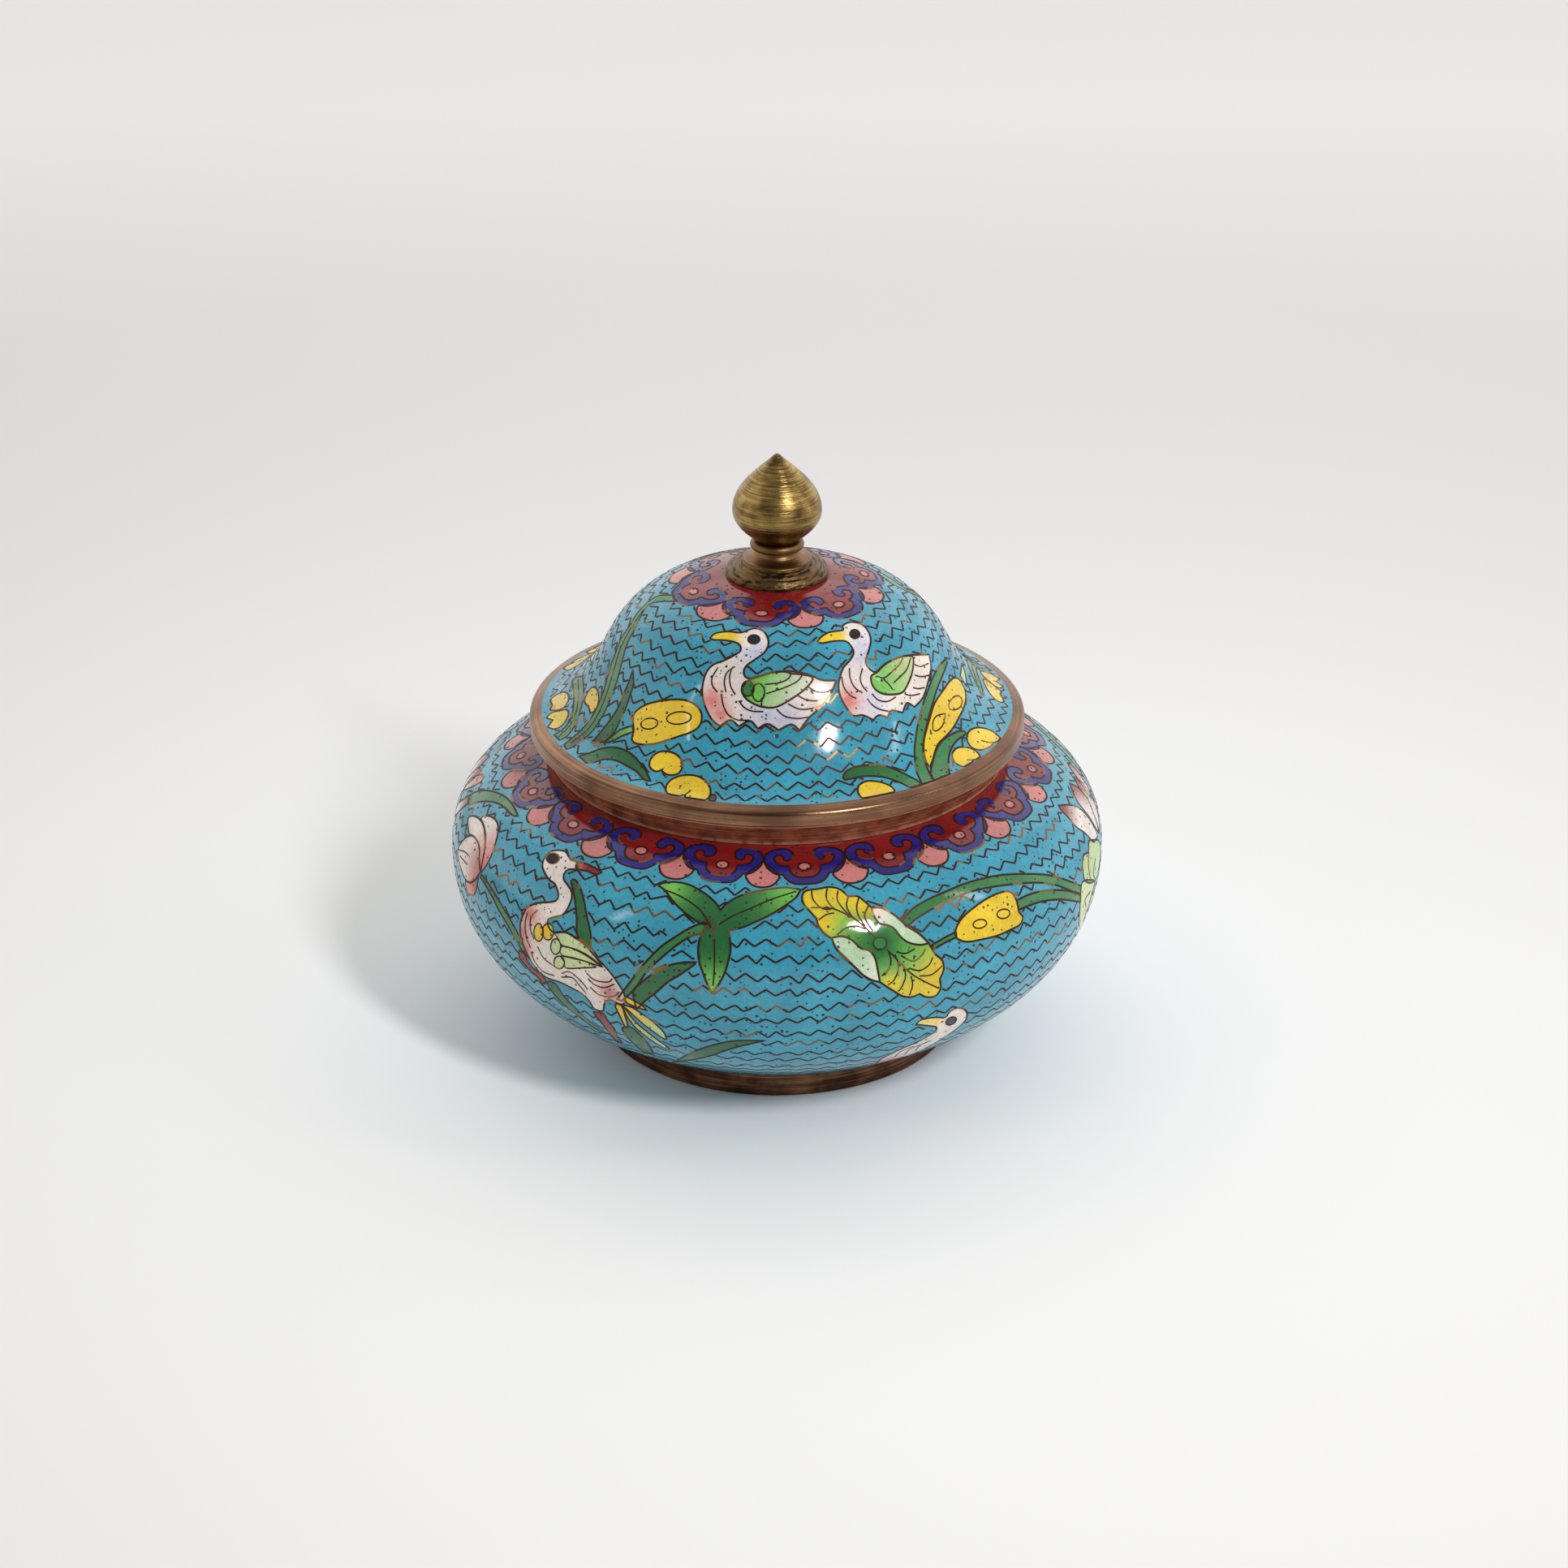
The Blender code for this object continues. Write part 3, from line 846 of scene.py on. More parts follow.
def wire_material(name, colour, roughness):
    """Copper or brass strip, ground flush with the enamel: tarnished, or in lighter copper as a painted
    glint. Its colour is even.
    """
    made = Finish(name, 0.85, roughness)
    made.shader.inputs["Base Color"].default_value = (*colour, 1.0)
    return made.finish(relief=made.noise(0.25 * MM), depth=0.015 * MM)


def metal_material(name, tones, roughness, ring, patch):
    """Turned metal with a patina: rings from the tool, cloudy patches and a fine grain."""
    dark, middle, light = tones
    made = Finish(name, 1.0, roughness)
    rings = made.rings(ring, 0.02)
    patches = made.noise(patch, 4.0)
    grain = made.noise(0.5 * MM, 3.0)
    colour = made.mix(made.spread(patches, 0.25, 0.60), dark, middle)
    colour = made.mix(made.spread(made.math("ADD", rings, made.math("MULTIPLY", patches, 0.5)), 0.72, 1.0),
                      colour, light)
    colour = made.mix(made.spread(grain, 0.60, 0.75, 0.0, 0.45), colour, dark)
    worn = made.math("ADD", made.math("MULTIPLY", patches, 0.16), made.math("MULTIPLY", rings, 0.16))
    rough = made.math("ADD", worn, roughness - 0.16)
    relief = made.math("ADD", rings, made.math("MULTIPLY", grain, 0.35))
    return made, colour, rough, relief


def bowl_shell():
    """The outer face of the bowl, from the foot up to the neck."""
    low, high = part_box("bowl")
    base = (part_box("foot_ring")[1][0] - FOOT_TAPER, low[2])
    belly = (high[0], low[2] + BELLY_RISE)
    mouth = (NECK_FOOT_RADIUS, high[2])
    lower = curve(base, BOWL_BASE_SLOPE, belly, 90.0, BOWL_LOWER_PULL, 60)
    upper = curve(belly, 90.0, mouth, 180.0 - BOWL_MOUTH_SLOPE, BOWL_UPPER_PULL, 50)
    return Shell(np.concatenate([lower, upper[1:]]))


def lid_shell():
    """The outer face of the lid, from the brim up to the seat of the knob."""
    low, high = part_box("lid")
    edge = (high[0], low[2] + LID_WALL)
    waist = (WAIST_RADIUS, edge[1] + BRIM_RISE)
    seat = (SEAT_RADIUS, high[2])
    brim = curve(edge, 180.0 - BRIM_SLOPE, waist, 180.0 - WAIST_SLOPE, BRIM_PULL, 40)
    dome = curve(waist, 180.0 - WAIST_SLOPE, seat, 180.0 - DOME_SLOPE, DOME_PULL, 50)
    return Shell(np.concatenate([brim, dome[1:]]))


def inner_outline(shell, wall):
    """The inside of a shell's wall, from the upper edge down to the lower one."""
    inside = shell.outline - wall * shell.out
    return inside[::-4]


# Where the cloud heads stand, in degrees from the front
BOWL_HEADS = (-49.9, -30.1, -11.5, 5.7, 24.3, 42.8)
BOWL_HEAD_COUNT = 19
LID_HEADS = (-69.5, -9.7, 42.9, 100.0, 162.0, 226.0)
BACK_TURN = 180.0


def round_the_back(angles, count):
    """The given angles, and evenly spaced ones over the rest of the circle, count in all."""
    rest = 360.0 - (angles[-1] - angles[0])
    more = count - len(angles) + 1
    return list(angles) + [angles[-1] + rest * k / more for k in range(1, more)]


def draw_large_duck(pattern, turn=0.0):
    """The larger duck, on the left of the pair on the lid."""
    sheet = Sheet(pattern, *DUCKS_SHEET, turn)
    body = [(375, 180), (430, 205), (455, 270), (432, 330), (370, 378), (312, 420), (295, 465), (320, 500),
            (400, 485), (480, 462), (560, 455), (640, 460), (720, 480), (800, 512), (890, 515), (890, 515),
            (870, 570), (825, 640), (770, 705), (715, 755), (655, 835), (655, 835), (600, 798), (520, 835),
            (520, 835), (450, 795), (385, 825), (385, 825), (335, 775), (262, 810), (262, 810), (210, 770),
            (140, 808), (140, 808), (90, 765), (50, 690), (28, 600), (35, 520), (62, 450), (105, 410),
            (165, 388), (235, 352), (273, 325), (272, 292), (240, 268), (170, 255), (100, 253), (80, 240),
            (80, 240), (112, 212), (190, 200), (275, 207), (330, 188)]
    sheet.cell(body, sheet.paint(WHITE, spots=[
        ((370, 330), 3.0, LAVENDER), ((420, 720), 3.0, LAVENDER), ((560, 760), 2.6, LAVENDER),
        ((90, 640), 2.2, BLUSH), ((150, 740), 1.5, BLUSH)]))
    bill = [(80, 240), (80, 240), (112, 212), (190, 200), (275, 207), (330, 190), (330, 190), (335, 300),
            (335, 300), (272, 292), (240, 268), (170, 255), (100, 253)]
    sheet.cell(bill, sheet.paint(YELLOW, WHITE, (230, 235), (325, 245)), wired=False)
    wing = [(330, 512), (400, 488), (480, 464), (560, 458), (600, 470), (660, 475), (735, 492), (730, 525),
            (680, 578), (620, 622), (540, 670), (480, 690), (410, 683), (350, 660), (300, 620), (283, 565)]
    sheet.cell(wing, sheet.paint(LIGHT_GREEN, WHITE, (400, 520), (740, 640)))
    sheet.oval((390, 592), (40, 58), LIGHT_GREEN)
    sheet.oval((322, 566), (40, 50), GREEN)
    sheet.oval((360, 250), (38, 30), BLACK)
    sheet.lines(
        [(600, 470), (580, 505), (520, 530), (430, 540)], [(672, 480), (640, 520), (560, 560), (440, 600)],
        [(430, 600), (412, 640), (410, 680)], [(700, 550), (760, 585), (820, 590), (870, 570)],
        [(640, 610), (700, 640), (770, 645), (830, 630)], [(580, 665), (640, 695), (700, 700), (790, 680)],
        [(505, 700), (560, 745), (640, 760), (710, 750)], [(240, 425), (190, 460), (170, 520), (180, 590)],
        [(225, 425), (205, 480), (210, 550), (240, 605)], [(130, 430), (90, 500), (95, 550), (125, 590)],
        [(150, 600), (165, 680), (200, 740), (260, 770), (330, 770)],
        [(262, 645), (300, 690), (350, 712), (420, 715)])


def draw_small_duck(pattern, turn=0.0):
    """The duck on the right of the pair on the lid."""
    sheet = Sheet(pattern, *DUCKS_SHEET, turn)
    body = [(1000, 140), (1060, 158), (1100, 205), (1113, 260), (1100, 320), (1080, 390), (1100, 435),
            (1142, 460), (1200, 412), (1262, 378), (1330, 357), (1400, 350), (1488, 348), (1488, 348),
            (1500, 430), (1482, 520), (1448, 625), (1395, 685), (1395, 685), (1345, 660), (1318, 722),
            (1318, 722), (1245, 708), (1222, 752), (1222, 752), (1165, 738), (1130, 768), (1130, 768),
            (1060, 738), (1000, 740), (950, 680), (915, 610), (905, 540), (920, 475), (938, 430), (978, 385),
            (1002, 340), (990, 300), (952, 262), (870, 262), (800, 275), (770, 265), (770, 265), (792, 235),
            (845, 205), (935, 190), (930, 165), (960, 145)]
    sheet.cell(body, sheet.paint(WHITE, spots=[
        ((1070, 320), 3.2, LAVENDER), ((1130, 660), 2.6, LAVENDER), ((975, 640), 2.0, BLUSH)]))
    bill = [(770, 265), (770, 265), (792, 235), (845, 205), (935, 190), (935, 190), (985, 200), (985, 200),
            (985, 290), (985, 290), (952, 262), (870, 262), (800, 275)]
    sheet.cell(bill, sheet.paint(YELLOW, WHITE, (925, 230), (978, 235)), wired=False)
    wing = [(1120, 480), (1115, 520), (1140, 570), (1190, 600), (1250, 605), (1310, 595), (1340, 560),
            (1375, 480), (1388, 400), (1380, 360), (1330, 358), (1260, 380), (1200, 415), (1150, 465)]
    sheet.cell(wing, sheet.paint(LIGHT_GREEN, PALE_GREEN, (1170, 500), (1350, 420)))
    sheet.oval((1010, 216), (32, 30), BLACK)
    sheet.lines(
        [(1320, 370), (1290, 420), (1220, 485)], [(1370, 370), (1340, 450), (1260, 530)],
        [(1150, 485), (1190, 500), (1220, 485)], [(1190, 500), (1230, 540), (1255, 575)],
        [(1395, 410), (1430, 425), (1485, 405)], [(1395, 480), (1440, 490), (1490, 480)],
        [(1385, 560), (1420, 568), (1460, 560)], [(1330, 600), (1370, 612), (1430, 600)],
        [(975, 435), (980, 500), (1010, 560), (1060, 595)],
        [(1060, 435), (1045, 500), (1060, 550), (1090, 585)],
        [(925, 490), (940, 560), (980, 610), (1020, 630)],
        [(1090, 630), (1120, 670), (1170, 700), (1235, 715)],
        [(1120, 600), (1160, 640), (1220, 650), (1275, 620)])


def draw_left_bed(pattern, turn=0.0):
    """Blades, a seed pod and round leaves on the left of the lid."""
    sheet = Sheet(pattern, *LEFT_BED_SHEET, turn)
    sheet.cell([(80, 800), (130, 758), (190, 740), (215, 770), (205, 820), (170, 860), (120, 876),
                (78, 872), (78, 872), (95, 838), (95, 838)], YELLOW)
    sheet.cell([(52, 930), (100, 890), (150, 880), (200, 870), (215, 900), (190, 960), (150, 1000),
                (100, 1015), (60, 1000), (60, 1000), (98, 948), (98, 948)], YELLOW)
    sheet.cell([(335, 790), (360, 740), (390, 705), (420, 710), (438, 760), (435, 820), (415, 870),
                (380, 895), (362, 845), (362, 845), (335, 820)], YELLOW)
    sheet.cell([(105, 1060), (105, 1060), (160, 1025), (205, 980), (237, 915), (252, 830), (252, 740),
                (240, 650), (240, 650), (282, 625), (320, 625), (320, 625), (326, 720), (316, 820),
                (290, 920), (255, 1000), (200, 1070), (150, 1100), (150, 1100)], GREEN)
    sheet.cell([(180, 1130), (180, 1130), (245, 1078), (320, 1010), (390, 920), (450, 800), (490, 680),
                (520, 560), (560, 460), (600, 350), (660, 260), (720, 160), (780, 90), (830, 50), (900, 20),
                (1000, 20), (1000, 20), (1000, 66), (1000, 66), (900, 68), (832, 80), (790, 110), (750, 180),
                (700, 280), (650, 380), (620, 480), (590, 600), (560, 700), (510, 830), (460, 930),
                (400, 1020), (330, 1090), (260, 1140), (200, 1168), (200, 1168)],
               sheet.paint(GREEN, spots=[((270, 1110), 1.6, SMUDGE)]))
    sheet.lines([(285, 640), (288, 760), (272, 880), (230, 980), (140, 1075)],
                [(790, 100), (700, 230), (640, 330), (590, 440), (555, 560), (520, 680), (480, 800),
                 (425, 920), (355, 1020), (230, 1120)])
    sheet.cell([(692, 575), (692, 575), (660, 670), (620, 760), (580, 860), (520, 950), (450, 1040),
                (380, 1120), (380, 1120), (480, 1112), (480, 1112), (520, 1075), (560, 1030), (592, 960),
                (632, 880), (670, 770), (697, 680)],
               sheet.paint(DEEP_GREEN, spots=[((400, 1110), 1.7, SMUDGE)]))
    sheet.cell([(478, 1118), (478, 1118), (530, 1075), (600, 1020), (690, 990), (690, 990), (695, 1035),
                (695, 1035), (610, 1068), (540, 1105)], sheet.paint(GREEN, LIGHT_GREEN, (500, 1100),
                                                                    (690, 1010)))
    sheet.cell([(700, 910), (730, 870), (800, 830), (900, 805), (1000, 795), (1080, 800), (1150, 830),
                (1195, 880), (1205, 940), (1180, 1000), (1120, 1040), (1030, 1070), (940, 1100), (850, 1125),
                (760, 1130), (700, 1115), (685, 1080), (700, 1030), (695, 970)], YELLOW)
    sheet.oval((815, 975), (64, 40), YELLOW, -8.0)
    sheet.oval((1035, 933), (92, 46), YELLOW, -6.0)
    sheet.cell([(290, 1215), (290, 1215), (360, 1198), (440, 1165), (520, 1150), (600, 1160), (680, 1200),
                (740, 1260), (790, 1330), (825, 1405), (825, 1405), (775, 1390), (720, 1330), (650, 1290),
                (570, 1250), (480, 1240), (400, 1265), (345, 1268), (345, 1268)], DEEP_GREEN)
    sheet.cell([(905, 1322), (905, 1322), (860, 1330), (820, 1300), (820, 1250), (860, 1200), (920, 1180),
                (1000, 1195), (1050, 1240), (1060, 1300), (1030, 1345), (975, 1358), (930, 1345)], YELLOW)
    sheet.cell([(1080, 1502), (1080, 1502), (1010, 1512), (945, 1490), (940, 1440), (980, 1390), (1060, 1360),
                (1150, 1360), (1220, 1390), (1265, 1450), (1265, 1510), (1225, 1545), (1150, 1550),
                (1085, 1535)], YELLOW)
    sheet.lines([(905, 1322), (918, 1308)], [(1080, 1502), (1122, 1475)])
    sheet.oval((1285, 1530), (24, 30), SMUDGE, 20.0)


def draw_right_bed(pattern, turn=0.0):
    """Blades, a tall seed pod and round leaves on the right of the lid."""
    sheet = Sheet(pattern, *RIGHT_BED_SHEET, turn)
    sheet.cell([(1108, 190), (1108, 190), (1128, 260), (1142, 330), (1148, 400), (1148, 400), (1118, 350),
                (1092, 300), (1092, 300), (1100, 240)], PALE_GREEN)
    sheet.cell([(965, 160), (920, 200), (870, 280), (830, 370), (790, 480), (750, 600), (720, 730),
                (700, 850), (690, 950), (695, 1060), (710, 1150), (740, 1220), (770, 1290), (770, 1290),
                (880, 1250), (880, 1250), (850, 1205), (810, 1135), (780, 1045), (765, 955), (772, 860),
                (792, 755), (822, 640), (852, 540), (884, 430), (925, 330), (962, 235), (978, 180)], GREEN)
    sheet.cell([(1045, 320), (1085, 340), (1115, 390), (1135, 440), (1140, 510), (1120, 590), (1080, 670),
                (1030, 760), (980, 820), (900, 900), (870, 970), (850, 1040), (825, 1110), (825, 1110),
                (790, 1050), (770, 950), (775, 860), (800, 760), (830, 660), (860, 560), (900, 490),
                (950, 420), (1000, 350)], YELLOW)
    sheet.cell([(990, 565), (1008, 515), (1060, 478), (1102, 500), (1105, 550), (1080, 590), (1030, 606),
                (1000, 598)], YELLOW, width=FINE_WIDTH)
    sheet.cell([(850, 720), (870, 670), (910, 645), (962, 638), (962, 638), (950, 700), (930, 750),
                (890, 785), (855, 782)], YELLOW, width=FINE_WIDTH)
    sheet.cell([(830, 1160), (830, 1160), (850, 1050), (880, 960), (920, 890), (980, 840), (1040, 805),
                (1100, 786), (1140, 803), (1120, 832), (1070, 865), (1030, 915), (1002, 970), (988, 1050),
                (990, 1120), (1010, 1195), (1010, 1195), (870, 1245), (870, 1245)], GREEN)
    sheet.cell([(62, 1190), (95, 1140), (170, 1105), (270, 1090), (380, 1085), (480, 1110), (570, 1150),
                (650, 1190), (720, 1230), (790, 1290), (790, 1290), (680, 1305), (680, 1305), (600, 1260),
                (520, 1225), (420, 1195), (320, 1185), (220, 1190), (130, 1208), (80, 1218)],
               sheet.paint(DEEP_GREEN, GREEN, (300, 1130), (700, 1260)))
    sheet.cell([(190, 1310), (210, 1258), (270, 1230), (340, 1230), (430, 1250), (500, 1290), (515, 1330),
                (470, 1365), (400, 1385), (300, 1400), (220, 1370)], YELLOW)
    sheet.cell([(1150, 830), (1180, 780), (1240, 760), (1320, 770), (1400, 810), (1450, 865), (1390, 888),
                (1390, 888), (1365, 920), (1310, 948), (1250, 955), (1190, 930), (1155, 880)], YELLOW)
    sheet.cell([(1020, 990), (1060, 940), (1120, 930), (1190, 945), (1250, 985), (1268, 1030), (1215, 1042),
                (1215, 1042), (1190, 1085), (1150, 1100), (1100, 1098), (1040, 1060)], YELLOW)
    sheet.lines([(1275, 872), (1350, 890), (1390, 888)], [(1150, 1045), (1215, 1042)])


def draw_egret(pattern, turn=0.0):
    """The egret on the left of the bowl, with the blades that it stands among."""
    sheet = Sheet(pattern, *EGRET_SHEET, turn)
    sheet.cell([(370, 320), (400, 315), (430, 360), (460, 450), (480, 560), (510, 700), (512, 800),
                (512, 800), (480, 770), (430, 730), (410, 700), (410, 600), (400, 480), (385, 390)],
               DEEP_GREEN)
    sheet.cell([(200, 1045), (260, 1060), (320, 1150), (420, 1250), (520, 1340), (640, 1420), (640, 1420),
                (560, 1390), (420, 1290), (300, 1190), (230, 1110)], DEEP_GREEN)
    sheet.cell([(735, 1380), (800, 1370), (880, 1440), (930, 1500), (960, 1560), (960, 1560), (880, 1540),
                (800, 1470)], DEEP_GREEN)
    sheet.cell([(0, 820), (40, 850), (60, 900), (100, 950), (150, 980), (190, 1040), (170, 1060), (130, 1010),
                (80, 970), (30, 910), (0, 870)], CRIMSON)
    sheet.cell([(530, 1260), (600, 1270), (630, 1320), (680, 1380), (690, 1420), (740, 1480), (740, 1480),
                (700, 1470), (640, 1410), (590, 1340), (550, 1290)], CRIMSON)
    tail = sheet.paint(YELLOW, PALE_GREEN, (770, 1200), (1000, 1400))
    sheet.cell([(745, 1220), (830, 1330), (950, 1430), (1060, 1510), (1075, 1525), (1040, 1520), (940, 1460),
                (840, 1380), (770, 1290)], tail)
    sheet.cell([(740, 1215), (800, 1225), (930, 1310), (1030, 1400), (1050, 1455), (1000, 1430), (880, 1340),
                (770, 1240)], tail)
    sheet.cell([(760, 1150), (820, 1180), (880, 1215), (915, 1250), (915, 1250), (870, 1235), (800, 1210),
                (765, 1190)], tail)
    sheet.cell([(685, 1210), (720, 1290), (760, 1375), (760, 1375), (775, 1360), (760, 1300), (730, 1215)],
               tail)
    body = [(290, 103), (330, 112), (355, 150), (368, 170), (415, 190), (410, 234), (350, 240), (320, 270),
            (318, 310), (345, 350), (370, 390), (375, 440), (350, 510), (310, 565), (250, 580), (205, 600),
            (205, 640), (245, 690), (330, 690), (400, 730), (470, 780), (540, 860), (600, 920), (660, 990),
            (710, 1060), (750, 1130), (755, 1180), (740, 1205), (700, 1195), (660, 1175), (620, 1180),
            (605, 1215), (600, 1250), (570, 1250), (530, 1230), (500, 1180), (450, 1130), (380, 1090),
            (300, 1050), (210, 1020), (150, 980), (100, 920), (60, 850), (30, 780), (8, 700), (8, 620),
            (30, 560), (60, 510), (130, 480), (200, 475), (260, 465), (280, 430), (270, 380), (250, 340),
            (210, 310), (180, 260), (165, 220), (175, 170), (210, 120), (250, 105)]
    sheet.cell(body, sheet.paint(WHITE, spots=[((75, 560), 1.9, BLUSH), ((25, 690), 1.8, BLUSH),
                                               ((50, 810), 1.5, BLUSH), ((640, 1120), 2.0, PINK)]))
    sheet.cell([(415, 190), (480, 200), (550, 235), (592, 262), (592, 262), (545, 275), (480, 250),
                (412, 236)], sheet.paint(BLUSH, CRIMSON, (415, 210), (480, 225)))
    sheet.oval((240, 160), (46, 38), BLACK)
    sheet.cell([(255, 690), (350, 695), (450, 760), (530, 850), (600, 940), (600, 940), (500, 860),
                (400, 810), (310, 785), (280, 740)], PALE_GREEN, width=FINE_WIDTH)
    sheet.cell([(305, 790), (400, 815), (500, 870), (590, 940), (590, 940), (540, 920), (400, 875),
                (300, 850)], PALE_GREEN, width=FINE_WIDTH)
    sheet.cell([(300, 860), (400, 880), (480, 900), (555, 940), (555, 940), (440, 945), (335, 945),
                (320, 900)], PALE_GREEN, width=FINE_WIDTH)
    sheet.oval((285, 905), (38, 46), PALE_GREEN)
    sheet.oval((260, 792), (36, 56), PALE_GREEN)
    sheet.oval((205, 685), (40, 60), YELLOW)
    sheet.oval((138, 690), (34, 64), YELLOW)
    sheet.lines(
        [(85, 830), (110, 900), (170, 970), (250, 1000)], [(130, 790), (170, 870), (230, 920), (270, 945)],
        [(60, 540), (42, 620), (48, 720), (80, 800)], [(130, 530), (85, 580), (78, 660), (105, 740)],
        [(300, 1010), (380, 1015), (430, 1070), (480, 1130)],
        [(300, 985), (350, 970), (400, 1000), (460, 1060), (490, 1100)],
        [(480, 980), (520, 1020), (570, 1040), (640, 1045), (665, 1020)],
        [(490, 1020), (540, 1065), (610, 1085), (680, 1060)],
        [(505, 1080), (560, 1130), (620, 1150), (680, 1145), (715, 1115)])


def draw_arrowhead(pattern, turn=0.0):
    """The three-lobed leaf at the front of the bowl, with its stem."""
    sheet = Sheet(pattern, *ARROWHEAD_SHEET, turn)
    sheet.cell([(590, 510), (540, 510), (430, 560), (320, 630), (220, 700), (120, 800), (50, 880), (0, 950),
                (-130, 1120), (-130, 1120), (-90, 1130), (-90, 1130), (0, 1050), (40, 1000), (100, 910),
                (200, 810), (330, 700), (450, 620), (560, 580)], GREEN)
    sheet.cell([(0, 1060), (60, 990), (150, 920), (250, 860), (380, 825), (512, 820), (512, 820), (480, 850),
                (380, 920), (280, 980), (190, 1060), (100, 1130), (30, 1200), (30, 1200)], DEEP_GREEN)
    leaf = [(200, 200), (200, 200), (240, 185), (330, 175), (430, 190), (530, 235), (620, 300), (680, 360),
            (705, 405), (705, 405), (740, 360), (830, 300), (950, 260), (1080, 235), (1220, 220),
            (1350, 235), (1350, 235), (1310, 300), (1230, 360), (1120, 430), (1000, 490), (880, 540),
            (770, 565), (770, 565), (780, 640), (785, 720), (770, 800), (740, 900), (700, 980), (635, 1075),
            (635, 1075), (600, 1000), (560, 900), (530, 800), (525, 700), (540, 620), (560, 580), (590, 520),
            (590, 520), (530, 500), (440, 440), (360, 370), (300, 300), (255, 240)]
    sheet.cell(leaf, sheet.paint(DEEP_GREEN, spots=[((640, 1010), 3.4, LIGHT_GREEN),
                                                    ((1290, 255), 4.6, LIGHT_GREEN),
                                                    ((290, 225), 3.2, LIGHT_GREEN),
                                                    ((600, 505), 1.0, SMUDGE)]))
    sheet.lines([(245, 235), (350, 275), (450, 330), (540, 400), (590, 470), (620, 530), (650, 600),
                 (655, 700), (655, 850), (645, 1010)], [(650, 560), (690, 520), (800, 450), (950, 385),
                                                        (1100, 320), (1250, 270), (1310, 250)])


